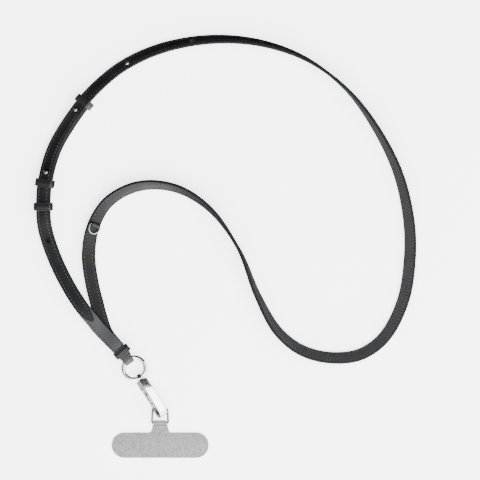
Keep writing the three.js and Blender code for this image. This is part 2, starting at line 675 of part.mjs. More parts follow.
// Phone tab: a pill-shaped sheet whose stem folds round the bail's foot. Its own origin is the foot's axis.
function makePhoneTab() {
  const r = TAB_HEIGHT / 2;
  const pillTop = -TAB_STEM_LENGTH;
  const middle = pillTop - r;
  const flare = (TAB_STEM_FLARE - TAB_STEM_WIDTH) / 2;
  const stemTop = -foldRadius;
  const shape = new THREE.Shape();
  shape.moveTo(-TAB_WIDTH / 2 + r, pillTop - TAB_HEIGHT);
  shape.lineTo(TAB_WIDTH / 2 - r, pillTop - TAB_HEIGHT);
  shape.absarc(TAB_WIDTH / 2 - r, middle, r, -Math.PI / 2, Math.PI / 2);
  shape.lineTo(TAB_STEM_FLARE / 2 + flare, pillTop);
  shape.quadraticCurveTo(TAB_STEM_FLARE / 2 - flare / 2, pillTop, TAB_STEM_WIDTH / 2, stemTop);
  shape.lineTo(TAB_FOLD_WIDTH / 2, -foldRadius / 2);
  shape.lineTo(TAB_FOLD_WIDTH / 2, 0);
  shape.lineTo(-TAB_FOLD_WIDTH / 2, 0);
  shape.lineTo(-TAB_FOLD_WIDTH / 2, -foldRadius / 2);
  shape.lineTo(-TAB_STEM_WIDTH / 2, stemTop);
  shape.quadraticCurveTo(-TAB_STEM_FLARE / 2 + flare / 2, pillTop, -TAB_STEM_FLARE / 2 - flare, pillTop);
  shape.lineTo(-TAB_WIDTH / 2 + r, pillTop);
  shape.absarc(-TAB_WIDTH / 2 + r, middle, r, Math.PI / 2, 1.5 * Math.PI);
  const sheet = extrudeThrough(shape, TAB_THICK, 14).translate(0, 0, TAB_THICK / 2 - foldRadius);
  const lap = new THREE.Shape();
  lap.moveTo(0, -foldRadius);
  lap.absarc(0, 0, foldRadius, -Math.PI / 2, degrees(TAB_LAP_TURN));
  lap.lineTo(-TAB_LAP_LENGTH, -foldRadius + TAB_THICK);
  lap.lineTo(-TAB_LAP_LENGTH, -foldRadius);
  const turned = new THREE.Matrix4().makeBasis(new THREE.Vector3(0, 1, 0), UP, new THREE.Vector3(1, 0, 0));
  const fold = extrudeThrough(lap, TAB_FOLD_WIDTH, 18).applyMatrix4(turned);
  return cut(join(sheet, fold), rodAlongX(BAIL_WIRE + CLEARANCE, -TAB_WIDTH, TAB_WIDTH));
}

// Assembly
const strap = new THREE.Group();

function add(parent, name, geometry, material) {
  const mesh = new THREE.Mesh(geometry, material);
  mesh.name = name;
  parent.add(mesh);
  return mesh;
}

add(strap, 'long_strap', makeLongStrap(), leather);
add(strap, 'short_strap', makeShortStrap(), leather);
add(strap, 'upper_keeper', tongueKeeper(UPPER_KEEPER_AT), leather);
add(strap, 'middle_keeper', tongueKeeper(MIDDLE_KEEPER_AT), leather);
add(strap, 'lower_keeper', tongueKeeper(LOWER_KEEPER_AT), leather);
add(strap, 'ring_keeper', ringKeeper(), leather);
add(strap, 'lower_stud', makeStud(STUD_HOLES[0]), steel);
add(strap, 'upper_stud', makeStud(STUD_HOLES[1]), steel);

const dGroup = new THREE.Group();
const dBasis = new THREE.Matrix4().makeBasis(dFrame.ahead, dFrame.across, dFrame.face);
dGroup.quaternion.setFromRotationMatrix(dBasis);
dGroup.position.copy(dHinge);
add(dGroup, 'd_ring', makeDRing(), steel);
add(dGroup, 'd_ring_tab', makeDTab(), leather);
strap.add(dGroup);

const ring = new THREE.TorusGeometry(O_RING_RADIUS, O_RING_WIRE, 12, 40);
const oRing = add(strap, 'o_ring', ring, steel);
oRing.position.copy(ringCentre);
const ringSide = new THREE.Vector3(-foldAhead.y, foldAhead.x, 0);
const ringUp = ringAhead.clone().cross(ringSide);
oRing.quaternion.setFromRotationMatrix(new THREE.Matrix4().makeBasis(ringAhead, ringSide, ringUp));

const eyeGroup = new THREE.Group();
eyeGroup.position.copy(eyeCentre);
eyeGroup.rotation.z = degrees(HOOK_HEADING);
add(eyeGroup, 'swivel_eye', makeSwivelEye(), steel);
strap.add(eyeGroup);

const hookHeadingGroup = new THREE.Group();
hookHeadingGroup.position.copy(hookStart);
hookHeadingGroup.rotation.z = degrees(HOOK_HEADING);
const hookRollGroup = new THREE.Group();
hookRollGroup.rotation.x = roll;
add(hookRollGroup, 'hook_body', makeHookBody(), steel);
add(hookRollGroup, 'hook_gate', makeGate(), steel);
add(hookRollGroup, 'gate_pin', pinRod(GATE_PIN_RADIUS, HOOK_DEPTH), steel);
hookHeadingGroup.add(hookRollGroup);
strap.add(hookHeadingGroup);

const bail = add(strap, 'bail', makeBail(), steel);
bail.position.copy(bailTop);
bail.rotation.x = bailTip;

const tab = add(strap, 'phone_tab', makePhoneTab(), fleck);
tab.position.copy(bailFoot);

// The origin is the middle of the lay, on the table.
strap.updateMatrixWorld(true);
const bounds = new THREE.Box3().setFromObject(strap);
const middle = bounds.getCenter(new THREE.Vector3());
strap.position.set(-middle.x, -middle.y, -bounds.min.z);
strap.updateMatrixWorld(true);

export default strap;
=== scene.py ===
"""The phone crossbody strap: leather straps, keepers, polished hardware and a fleck grey phone tab."""

import math
from collections import namedtuple

import bmesh
import bpy
import numpy as np
from mathutils import Matrix, Vector


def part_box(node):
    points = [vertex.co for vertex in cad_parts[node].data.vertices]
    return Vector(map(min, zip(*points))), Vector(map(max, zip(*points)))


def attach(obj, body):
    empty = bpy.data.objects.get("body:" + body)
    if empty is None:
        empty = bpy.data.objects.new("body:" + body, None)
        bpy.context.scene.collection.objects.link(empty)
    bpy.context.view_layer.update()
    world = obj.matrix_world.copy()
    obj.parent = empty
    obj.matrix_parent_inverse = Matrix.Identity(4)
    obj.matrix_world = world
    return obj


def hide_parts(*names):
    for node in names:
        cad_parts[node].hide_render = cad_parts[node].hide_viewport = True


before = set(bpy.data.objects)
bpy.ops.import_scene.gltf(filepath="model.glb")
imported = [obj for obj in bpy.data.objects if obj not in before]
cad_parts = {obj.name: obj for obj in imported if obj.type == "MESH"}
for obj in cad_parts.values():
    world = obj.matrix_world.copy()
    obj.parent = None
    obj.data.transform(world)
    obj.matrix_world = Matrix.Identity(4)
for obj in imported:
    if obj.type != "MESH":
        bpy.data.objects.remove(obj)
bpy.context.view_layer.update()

# Sizes in millimetres and turns in degrees, as the solids have them
MM = 0.001
CLEARANCE = 0.3
LAY_WIDTH = 276.8
LAY_HEIGHT = 304.8
STRAP_WIDTH = 10.0
STRAP_THICK = 2.4
TONGUE_TAPER = 15.0
TONGUE_TIP_RADIUS = 1.7
HOLES = [67.0 + 50.0 * i for i in range(6)]
HOLE_WIDTH = 3.0
HOLE_LENGTH = 4.2
HOLE_OFFSET = 0.6
STUD_HOLES = [1, 2]
STUD_NECK_RADIUS = 0.8
STUD_BALL_RADIUS = 2.0
STUD_BALL_SINK = 0.35
STUD_FLANGE_RADIUS = 2.6
STUD_FLANGE_THICK = 0.7
KEEPER_LENGTH = 5.6
KEEPER_WALL = 1.3
KEEPER_CORNER = 2.0
KEEPER_LEVEL_RUN = 1.0
UPPER_KEEPER_AT = 175.0
MIDDLE_KEEPER_AT = 109.0
LOWER_KEEPER_AT = 92.0
LIFT_REACH = 20.0
NECK_WIDTH = 9.0
NECK_RUN = 8.0
FOLD_WIDTH = 6.8
FOLD_THICK = 1.3
O_RING_RADIUS = 7.95
O_RING_WIRE = 1.35
D_RING_FROM_END = 98.0
D_RING_WIDTH = 9.4
D_RING_DEPTH = 7.4
D_RING_WIRE = 0.55
D_RING_CORNER = 0.8
D_TAB_THICK = 1.0
D_TWIST_ROOM = 0.5
EYE_WALL = 1.0
EYE_WIDTH = 2.6
EYE_POST_RADIUS = 1.1
EYE_HEAD_RADIUS = 1.7
EYE_HEAD_THICK = 1.4
EYE_PLAY = 0.1
SWIVEL_PLAY = 0.25
HOOK_HEADING = -58.5
HOOK_ROLL = 66.0
HOOK_LENGTH = 30.2
HOOK_WIDTH = 9.2
HOOK_DEPTH = 6.1
HOOK_WALL = 1.8
HOOK_BOW_RADIUS = 3.6
HOOK_HEAD_LENGTH = 7.4
HOOK_COLLAR = 3.3
HOOK_SHOULDER = 1.1
HOOK_GATE_DROP = 0.5
HOOK_WINDOW_CORNER = 1.2
GATE_THICK = 2.0
GATE_DEPTH = 5.0
GATE_LUG_DEPTH = 2.9
GATE_SETBACK = 9.4
GATE_CORNER = 0.3
GATE_LUG_RADIUS = 1.2
GATE_PIN_RADIUS = 0.6
BAIL_WIRE = 0.75
BAIL_TOP_WIDTH = 12.2
BAIL_FOOT_WIDTH = 13.1
BAIL_REACH = 10.9
BAIL_SETBACK = 5.4
BAIL_OFFSET = 0.5
BAIL_CORNER = 1.4
TAB_WIDTH = 70.0
TAB_HEIGHT = 18.3
TAB_THICK = 1.0
TAB_STEM_WIDTH = 10.9
TAB_STEM_FLARE = 13.4
TAB_FOLD_WIDTH = 9.5
TAB_STEM_LENGTH = 6.8
TAB_LAP_LENGTH = 2.88
TAB_LAP_TURN = 144.0

# The facet on the hook's spine, a little longer and deeper than the solid's
HOOK_SPINE_DROP = 1.35
HOOK_SPINE_FACET = 9.2

# Stitches, and a dark bead of painted shade for the slit that each one goes down. The heights are shares of
# the widths.
STITCH_INSET = 2.1
STITCH_PITCH = 2.45
STITCH_LENGTH = 1.75
STITCH_START = 2.2
STITCH_SINK = 0.1
STITCH_LEAST_OFFSET = 0.05
THREAD_WIDTH = 0.44
THREAD_HEIGHT = 0.9
SLIT_SHADE_WIDTH = 1.0
SLIT_SHADE_HEIGHT = 0.3

# Farther than this from the tongue's tip the short strap lies covered, and its upper face is painted shade:
# there it has the darker leather of its underside, not the lining
PAINTED_SHADE_FROM_TIP = 40.0

# Steps and sides of the fine meshes
LINE_SAMPLES = 40
SECTION_STEP = 1.6
TAPER_STEP = 1.0
NECK_STEP = 0.8
LANDING_STEP = 1.2
KEEPER_STEP = 1.0
TIP_SHARES = (0.02, 0.06, 0.14, 0.26, 0.42, 0.62, 0.82)
PLY_ROWS = 8
FOLD_TURN_STEP = 15
EDGE_SEGMENTS = 3
CORNER_STEPS = 8
BOW_STEPS = 16
HOLE_SIDES = 32
ROUND_SIDES = 40
WIRE_SIDES = 16
RING_SIDES = 32
RING_STEPS = 120
EYE_SIDES = 64
BEAD_SIDES = 10
BEAD_RINGS = 5
BALL_STEPS = 18
DIMPLE_STEPS = 33
D_BAR_STEPS = 12
D_BOW_STEPS = 32
D_CORNER_STEPS = 6
D_TAB_STEPS = 24
D_TAB_INNER_STEPS = 16
TAB_END_STEPS = 40
FLARE_STEPS = 12
CAP_UV_STEP = 0.1

# Rounded edges
FLANGE_EDGE = 0.2
D_TAB_EDGE = 0.25
EYE_EDGE = 0.22
EYE_HEAD_EDGE = 0.15
HOOK_EDGE = 0.45
HOOK_EDGE_SEGMENTS = 4
PIN_EDGE = 0.12
TAB_EDGE = 0.2
TAB_LAP_EDGE = 0.15

# Edges that turn by more degrees than this stay sharp. So do those between two flats of this area, from a
# much smaller turn on.
SHARP_TURN = 35
SHARP_STRAP_TURN = 60
SHARP_STUD_TURN = 50
SHARP_CAST_TURN = 30
FLAT_TURN = 4
FLAT_AREA = 10.0

# How far cutters reach past what they cut, the pin's close fit, and the gate's neck between bar and lug
OVERCUT = 1.0
PIN_FIT = 0.05
GATE_NECK_HALF = 0.8
GATE_NECK_REACH = 1.0
# How much of the space between the D-ring's legs its bar's points fill
D_BAR_SHARE = 0.8
# The tab's lap ends in a short slope: the turn that it takes up, and its middle's reach and height.
# A painted shadow line below the fold's lapped end lies at a share of the fold's radius from the bail's foot.
LAP_SLOPE_TURN = 14.0
LAP_SLOPE_REACH = 0.66
LAP_SLOPE_HEIGHT = 0.25
LAP_SHADOW_REACH = 0.7

LAYER = STRAP_THICK + CLEARANCE
KEEPER_STAND = KEEPER_WALL + CLEARANCE
UP = Vector((0, 0, 1))

# The long strap's centreline from the tongue's tip: shares of the lay's width and height from its middle,
# how far the outer face tips to the left of the travel in degrees, and how many straps lie underneath.
LONG_ROUTE = [
    (-0.343, -0.178, 0, 2), (-0.373, -0.145, 1, 2), (-0.414, -0.086, 3, 1.4), (-0.448, -0.021, 5, 1),
    (-0.470, 0.043, 8, 1), (-0.474, 0.095, 10, 1), (-0.470, 0.149, 14, 1), (-0.445, 0.233, 24, 1),
    (-0.376, 0.332, 31, 1), (-0.323, 0.385, 35, 0.7), (-0.262, 0.428, 39, 0), (-0.167, 0.467, 44, 0),
    (-0.040, 0.488, 53, 0), (0.090, 0.480, 65, 0), (0.212, 0.441, 79, 0), (0.316, 0.370, 93, 0),
    (0.394, 0.276, 110, 0), (0.451, 0.170, 123, 0), (0.479, 0.055, 135, 0), (0.480, -0.040, 141, 0),
    (0.462, -0.133, 142, 0), (0.413, -0.217, 141, 0), (0.350, -0.257, 141, 0), (0.271, -0.264, 138, 0),
    (0.196, -0.245, 134, 0), (0.136, -0.200, 125, 0), (0.085, -0.118, 110, 0), (0.036, -0.009, 93, 0),
    (-0.040, 0.087, 76, 0), (-0.128, 0.136, 63, 0), (-0.222, 0.142, 52, 0), (-0.301, 0.107, 43, 0),
    (-0.342, 0.050, 30, 0), (-0.356, -0.020, 12, 0), (-0.347, -0.089, 4, 0), (-0.335, -0.134, 0, 0),
    (-0.324, -0.171, 0, 0), (-0.309, -0.208, 0, 0), (-0.269, -0.250, 0, 0),
]
# The short strap past the tongue's tip, to the O-ring's wire
SHORT_ROUTE = [(-0.332, -0.191), (-0.310, -0.212), (-0.269, -0.250), (-0.254, -0.268)]

# How the strap's section falls away from its edge: inset from the edge and drop below the face.
# A fold line and a stitch channel run beside the painted edge, and the middle is slightly full.
HALF_SECTION = [
    (0.00, 1.20), (0.02, 0.80), (0.10, 0.45), (0.28, 0.18), (0.55, 0.03), (0.85, 0.00), (1.00, 0.10),
    (1.15, 0.00), (1.85, 0.02), (2.10, 0.15), (2.35, 0.02), (2.65, -0.03), (3.50, -0.07), (5.00, -0.09),
]
# Edge paint covers the section up to this inset
EDGE_INSET = 0.56
# Drops above this one belong to the side wall and follow the strap's thickness
RIM_DROP = 0.16
# The same for a keeper's band: a square painted edge and a crease line beside it
KEEPER_SECTION = [
    (0.00, 0.65), (0.00, 0.23), (0.06, 0.09), (0.20, 0.00), (0.75, 0.00), (0.90, 0.10), (1.05, 0.00),
]
KEEPER_EDGE_INSET = 0.3
KEEPER_SWELL = 0.05

Frame = namedtuple("Frame", "centre across face ahead")


def put(name, data):
    """An object with its data, in the scene."""
    made = bpy.data.objects.new(name, data)
    bpy.context.scene.collection.objects.link(made)
    return made


# Camera: straight down with a long lens, as the flat lay was taken
SENSOR_WIDTH = 36.0
FIELD_WIDTH = 345.6
FIELD_MIDDLE = Vector((10.8, 4.5, 6.0))
CAMERA_HEIGHT = 2.0
camera = put("camera", bpy.data.cameras.new("camera"))
camera.data.lens = SENSOR_WIDTH * CAMERA_HEIGHT / (FIELD_WIDTH * MM)
camera.data.clip_start = 0.1
camera.location = FIELD_MIDDLE * MM + UP * CAMERA_HEIGHT
bpy.context.scene.camera = camera


def linear(code):
    """An sRGB hex value as linear colour."""
    values = [int(code[i:i + 2], 16) / 255 for i in (1, 3, 5)]
    return tuple(v / 12.92 if v <= 0.04045 else ((v + 0.055) / 1.055) ** 2.4 for v in values) + (1.0,)


def feed(tree, node, inputs):
    """Sets each named input of a node to a value, or links it to a socket or to a node's first output."""
    for name, source in inputs.items():
        if isinstance(source, bpy.types.Node):
            source = source.outputs[0]
        if isinstance(source, bpy.types.NodeSocket):
            tree.links.new(source, node.inputs[name])
        else:
            node.inputs[name].default_value = source


def add_node(tree, kind, inputs=None, **settings):
    """A node with its settings and inputs."""
    made = tree.nodes.new(kind)
    for key, value in settings.items():
        setattr(made, key, value)
    feed(tree, made, inputs or {})
    return made


def new_material(name):
    material = bpy.data.materials.new(name)
    material.use_nodes = True
    return material, material.node_tree, material.node_tree.nodes["Principled BSDF"]


def mottled(name, kind, texture, dark, light, roughness, gloss):
    """A material whose colour runs between two tones, after a texture on Object coordinates."""
    material, tree, shader = new_material(name)
    where = add_node(tree, "ShaderNodeTexCoord").outputs["Object"]
    pattern = add_node(tree, kind, {"Vector": where, **texture})
    shade = add_node(tree, "ShaderNodeValToRGB", {"Fac": pattern})
    for stop, code in zip(shade.color_ramp.elements, (dark, light)):
        stop.color = linear(code)
    feed(tree, shader, {"Base Color": shade, "Roughness": roughness, "Specular IOR Level": gloss})
    return material, tree, shader, pattern


def noise(tree, where, scale, detail, **more):
    return add_node(tree, "ShaderNodeTexNoise", {"Vector": where, "Scale": scale, "Detail": detail, **more})


def bump(tree, height, strength, depth_mm, **more):
    limits = {"Strength": strength, "Distance": depth_mm * MM}
    return add_node(tree, "ShaderNodeBump", {"Height": height, **limits, **more})


def bridle_leather(name, dark, light, pore_mm, roughness, gloss):
    """Waxed vegetable-tanned leather: near black, with fine pores, slow wax clouding and a soft shine.
    The pattern follows the strap on its own UV, which is in millimetres."""
    material, tree, shader = new_material(name)
    uv = add_node(tree, "ShaderNodeUVMap", uv_map="length")
    pores = add_node(tree, "ShaderNodeTexVoronoi", {"Vector": uv, "Scale": 1 / pore_mm, "Randomness": 1.0})
    clouds = noise(tree, uv, 0.12, 3.0)
    creases = noise(tree, uv, 0.9 / pore_mm, 4.0)
    tones = {"Factor": clouds, "A": linear(dark), "B": linear(light)}
    tone = add_node(tree, "ShaderNodeMix", tones, data_type="RGBA")
    wax = add_node(tree, "ShaderNodeMapRange", {
        "Value": clouds, "From Min": 0.3, "From Max": 0.7, "To Min": roughness - 0.05,
        "To Max": roughness + 0.06})
    fine = bump(tree, pores, 0.25, 0.12)
    relief = bump(tree, creases, 0.3, 0.15, Normal=fine)
    feed(tree, shader, {
        "Base Color": tone.outputs["Result"], "Roughness": wax, "Normal": relief, "IOR": 1.45,
        "Specular IOR Level": gloss})
    return material


def edge_paint(name, roughness, gloss):
    """Layers of black edge paint, sanded and buffed: smooth, with a soft gleam along the rim."""
    fine = {"Scale": 700.0, "Detail": 2.0}
    material, tree, shader, ripple = mottled(
        name, "ShaderNodeTexNoise", fine, "#0b0b0c", "#151516", roughness, gloss)
    feed(tree, shader, {"Normal": bump(tree, ripple, 0.15, 0.1)})
    return material


def polyester_thread():
    """Bonded polyester thread, three strands: a twist of fine ridges and a slight sheen."""
    twist = {"Scale": 900.0, "Distortion": 0.6}
    return mottled("bonded_thread_black", "ShaderNodeTexWave", twist, "#232325", "#434346", 0.6, 0.3)[0]


def painted_slit_shade():
    """Painted shade for the slit that each stitch goes down: a dull black bead."""
    dust = {"Scale": 2000.0}
    return mottled("stitch_hole_shade", "ShaderNodeTexNoise", dust, "#020202", "#050505", 0.9, 0.1)[0]


def polished_steel(name, code, roughness):
    """Cast steel, polished and nickel plated: a mirror with faint buffing haze."""
    material, tree, shader = new_material(name)
    where = add_node(tree, "ShaderNodeTexCoord").outputs["Object"]
    haze = noise(tree, where, 260.0, 4.0)
    rub = add_node(tree, "ShaderNodeMapRange", {
        "Value": haze, "To Min": roughness * 0.7, "To Max": roughness * 1.5})
    relief = bump(tree, noise(tree, where, 900.0, 2.0), 0.05, 0.05)
    feed(tree, shader, {"Base Color": linear(code), "Metallic": 1.0, "Roughness": rub, "Normal": relief})
    return material


def fleck_felt(lap_shadow_at):
    """Pressed microfibre on a film core: light grey with darker and paler flecks under a millimetre,
    and a fine nap. A soft painted shadow line runs across the neck, below the fold's lapped end."""
    material, tree, shader = new_material("fleck_microfibre_grey")
    where = add_node(tree, "ShaderNodeTexCoord").outputs["Object"]
    grain = noise(tree, where, 1300.0, 3.0, Roughness=0.7)
    blotch = noise(tree, where, 420.0, 2.0)
    both = add_node(tree, "ShaderNodeMix", {"Factor": 0.2, "A": grain, "B": blotch})
    shade = add_node(tree, "ShaderNodeValToRGB", {"Fac": both})
    for stop, position, code in zip(shade.color_ramp.elements, (0.36, 0.64), ("#575758", "#878788")):
        stop.position = position
        stop.color = linear(code)
    relief = bump(tree, grain, 0.4, 0.15)
    # Painted shadow: a darker line across the neck, below the fold's lapped end
    apart = add_node(tree, "ShaderNodeSeparateXYZ", {"Vector": where})
    away = add_node(tree, "ShaderNodeMath", {0: apart.outputs["Y"], 1: lap_shadow_at * MM}, operation="SUBTRACT")
    near = add_node(tree, "ShaderNodeMath", {0: away}, operation="ABSOLUTE")
    lap_shadow = add_node(tree, "ShaderNodeMapRange", {
        "Value": near, "From Min": 0.2 * MM, "From Max": 0.8 * MM, "To Min": 0.5})
    lap_shaded = add_node(tree, "ShaderNodeVectorMath", {0: shade, "Scale": lap_shadow}, operation="SCALE")
    feed(tree, shader, {
        "Base Color": lap_shaded, "Normal": relief, "Roughness": 0.85, "Specular IOR Level": 0.2})
    return material


# Leathers of the straps' face, of the short strap's upper side, of the keepers and of the underside
LEATHER = bridle_leather("bridle_leather_black", "#09090a", "#0e0e0f", 0.45, 0.38, 0.18)
LINING = bridle_leather("smooth_calf_black", "#242425", "#2e2e2f", 0.6, 0.36, 0.42)
BAND = bridle_leather("glazed_calf_black", "#0d0d0e", "#141415", 0.6, 0.34, 0.24)
FLESH = bridle_leather("buffed_flesh_side", "#202021", "#29292a", 0.8, 0.5, 0.18)
# Painted edges of the straps and keepers, and the D-ring tab's smooth skin
EDGE = edge_paint("edge_paint_black", 0.55, 0.08)
BAND_EDGE = edge_paint("glazed_edge_paint", 0.35, 0.5)
TAB_SKIN = edge_paint("smooth_tab_leather", 0.4, 0.2)
THREAD = polyester_thread()
# Painted shade: dark beads stand for the shade down each stitch's slit
HOLE_SHADE = painted_slit_shade()
# Metals of the hook and O-ring, of the bail and pin, of the eye and D-ring, and of the studs
STEEL = polished_steel("polished_nickel", "#e4e5e6", 0.07)
WIRE_STEEL = polished_steel("drawn_steel_wire", "#5a5b5d", 0.5)
EYE_STEEL = polished_steel("rolled_steel_band", "#7c7d7f", 0.16)
STUD_STEEL = polished_steel("turned_gunmetal", "#5c5d60", 0.12)


def piece(name, points, faces, materials, uv=None, shades=None):
    """A smooth mesh from points in millimetres."""
    mesh = bpy.data.meshes.new(name)
    mesh.from_pydata([Vector(p) * MM for p in points], [], faces)
    for material in materials:
        mesh.materials.append(material)
    if shades is not None:
        mesh.polygons.foreach_set("material_index", shades)
    if uv is not None:
        layer = mesh.uv_layers.new(name="length")
        layer.data.foreach_set("uv", np.array(uv, np.float32).ravel())
    mesh.shade_smooth()
    return put(name, mesh)


def settle(made, body, node):
    """The piece rides on a body and stands for a solid."""
    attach(made, body)
    if node:
        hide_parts(node)


def apply_modifiers(made):
    """Turns the evaluated object into its own plain mesh."""
    graph = bpy.context.evaluated_depsgraph_get()
    evaluated = made.evaluated_get(graph)
    baked = bpy.data.meshes.new_from_object(evaluated, preserve_all_data_layers=True, depsgraph=graph)
    made.modifiers.clear()
    old = made.data
    made.data = baked
    bpy.data.meshes.remove(old)


class Line:
    """A smooth line through points, measured along its length."""

    def __init__(self, points):
        self.points = np.array(points, float)
        self.steps = LINE_SAMPLES * len(points)
        self.shares = np.linspace(0, 1, self.steps + 1)
        samples = np.array([self.at(t) for t in self.shares])
        runs = np.linalg.norm(np.diff(samples, axis=0), axis=1)
        self.lengths = np.concatenate([[0], np.cumsum(runs)])
        self.length = float(self.lengths[-1])

    def at(self, t):
        """The point at a share of the way, on a centripetal Catmull-Rom curve."""
        points, last = self.points, len(self.points) - 1
        i = min(int(t * last), last - 1)
        w = t * last - i
        b, c = points[i], points[i + 1]
        a = points[i - 1] if i > 0 else 2 * b - c
        d = points[i + 2] if i + 2 <= last else 2 * c - b
        ab, bc, cd = (float(np.dot(q - p, q - p)) ** 0.25 for p, q in ((a, b), (b, c), (c, d)))
        bc = bc if bc > 1e-4 else 1.0
        ab, cd = (run if run > 1e-4 else bc for run in (ab, cd))
        out = bc * ((b - a) / ab - (c - a) / (ab + bc) + (c - b) / bc)
        into = bc * ((c - b) / bc - (d - b) / (bc + cd) + (d - c) / cd)
        return b + out * w + (3 * (c - b) - 2 * out - into) * w**2 + (2 * (b - c) + out + into) * w**3

    def reach(self, number):
        """The length up to one of its points."""
        return float(self.lengths[round(number / (len(self.points) - 1) * self.steps)])

    def share(self, distance):
        return float(np.interp(distance, self.lengths, self.shares))

    def ahead(self, t):
        step = self.at(min(1, t + 1e-4)) - self.at(max(0, t - 1e-4))
        return step / np.linalg.norm(step)


def smoothstep(value, low, high):
    x = min(1, max(0, (value - low) / (high - low)))
    return x * x * (3 - 2 * x)


def spread(start, end, step):
    return list(np.linspace(start, end, max(2, round(abs(end - start) / step) + 1)))


def place(row):
    return (row[0] * LAY_WIDTH, row[1] * LAY_HEIGHT, 0)


long_line = Line([place(row) for row in LONG_ROUTE])
long_turn = Line([(row[2], row[3]) for row in LONG_ROUTE])
LONG_LENGTH = long_line.length
TONGUE_KEEPERS = [UPPER_KEEPER_AT, MIDDLE_KEEPER_AT, LOWER_KEEPER_AT]
SHORT_END = UPPER_KEEPER_AT + KEEPER_LENGTH / 2 + CLEARANCE


def lift_at(distance, keepers):
    """A strap rises where it passes through a keeper, and comes down on both sides."""
    flat = KEEPER_LENGTH / 2 + KEEPER_LEVEL_RUN
    return KEEPER_STAND * max(1 - smoothstep(abs(distance - at) - flat, 0, LIFT_REACH) for at in keepers)


def strap_frame(point, ahead, lean, layers, lift):
    left = Vector((-ahead[1], ahead[0], 0)).normalized()
    sin, cos = math.sin(lean), math.cos(lean)
    across = left * cos - UP * sin
    face = left * sin + UP * cos
    rest = (STRAP_WIDTH / 2) * abs(sin) + (STRAP_THICK / 2) * abs(cos)
    height = rest + layers * LAYER * cos + lift * (abs(sin) + abs(cos))
    return Frame(Vector((point[0], point[1], height)), across, face, across.cross(face))


def long_frame(distance):
    t = long_line.share(distance)
    lean, layers = long_turn.at(t)
    lift = lift_at(distance, TONGUE_KEEPERS + [LONG_LENGTH])
    return strap_frame(long_line.at(t), long_line.ahead(t), math.radians(lean), layers, lift)


def long_width(distance):
    """The tongue widens from its small round tip, and the other end narrows to enter its keeper."""
    if distance >= TONGUE_TAPER:
        narrowed = smoothstep(distance, LONG_LENGTH - NECK_RUN, LONG_LENGTH - KEEPER_LENGTH / 2)
        return STRAP_WIDTH + (NECK_WIDTH - STRAP_WIDTH) * narrowed
    r = TONGUE_TIP_RADIUS
    tip = math.sqrt(r * r - (r - distance) ** 2) if distance < r else r
    share = max(0, (distance - r) / (TONGUE_TAPER - r))
    return 2 * tip + (STRAP_WIDTH - 2 * r) * math.sin(share * math.pi / 2)


def shifted(at, across=None, face=None, centre=None):
    return Frame(centre or at.centre, across or at.across, face or at.face, at.ahead)


def hole_frame(distance):
    at = long_frame(distance)
    return shifted(at, centre=at.centre - at.across * HOLE_OFFSET)


def under_tongue(distance):
    at = long_frame(distance)
    return Frame(at.centre - at.face * LAYER, -at.across, at.face, -at.ahead)


short_start = [under_tongue(d).centre for d in (TONGUE_TAPER, 0)]
short_line = Line([(p.x, p.y, 0) for p in short_start] + [place(row) for row in SHORT_ROUTE])
SHORT_LENGTH = short_line.length
# How far along it the tongue's tip lies, and the middle of the ring keeper
SHORT_TIP = short_line.reach(1)
SHORT_KEEPER = short_line.reach(4)


def short_frame(distance):
    t = short_line.share(distance)
    return strap_frame(short_line.at(t), short_line.ahead(t), 0, 1, lift_at(distance, [SHORT_KEEPER]))


FOLD_MIDDLE = O_RING_WIRE + CLEARANCE + FOLD_THICK / 2
FOLD_SAG = O_RING_RADIUS - math.sqrt(O_RING_RADIUS**2 - (FOLD_WIDTH / 2) ** 2)
STACK_HEIGHT = KEEPER_STAND + STRAP_THICK + CLEARANCE / 2
fold_end = short_frame(SHORT_LENGTH)
fold_ahead = fold_end.ahead
wire_point = Vector((fold_end.centre.x, fold_end.centre.y, STACK_HEIGHT))

# The O-ring and the hook follow from the fold; the lay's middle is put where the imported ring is.
hook_direction = Vector((math.cos(math.radians(HOOK_HEADING)), math.sin(math.radians(HOOK_HEADING)), 0))
roll = math.radians(HOOK_ROLL)
HOOK_HEIGHT = (HOOK_WIDTH / 2) * math.sin(roll) + (HOOK_DEPTH / 2) * math.cos(roll)
ring_rise = math.asin((HOOK_HEIGHT - STACK_HEIGHT) / (2 * O_RING_RADIUS))
ring_ahead = Vector((fold_ahead.x, fold_ahead.y, math.tan(ring_rise))).normalized()
ring_centre = wire_point + ring_ahead * O_RING_RADIUS
packed_low, packed_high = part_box("o_ring")
SHIFT = (packed_low + packed_high) / 2 / MM - ring_centre
SHIFT_MATRIX = Matrix.Translation(SHIFT)


def section(at, width, thick):
    """The points round one section of strap, anticlockwise against the travel, and their places across it."""
    share = min(1, width / STRAP_WIDTH)
    quarter = []
    for inset, drop in HALF_SECTION:
        depth = drop * thick / STRAP_THICK if drop > RIM_DROP else drop * share
        quarter.append((width / 2 - inset * share, thick / 2 - depth))
    top = quarter + [(-a, b) for a, b in reversed(quarter[:-1])]
    ring = top + [(-a, -b) for a, b in top[1:-1]]
    return [at.centre + at.across * a + at.face * b for a, b in ring], [a for a, _ in ring]


def quads(rings, sides, closed=False):
    """The faces between rings of points, each with its ring, next ring, side and next side."""
    for i in range(rings if closed else rings - 1):
        j = (i + 1) % rings
        for k in range(sides):
            n = (k + 1) % sides
            yield (i, j, k, n), (i * sides + k, i * sides + n, j * sides + n, j * sides + k)


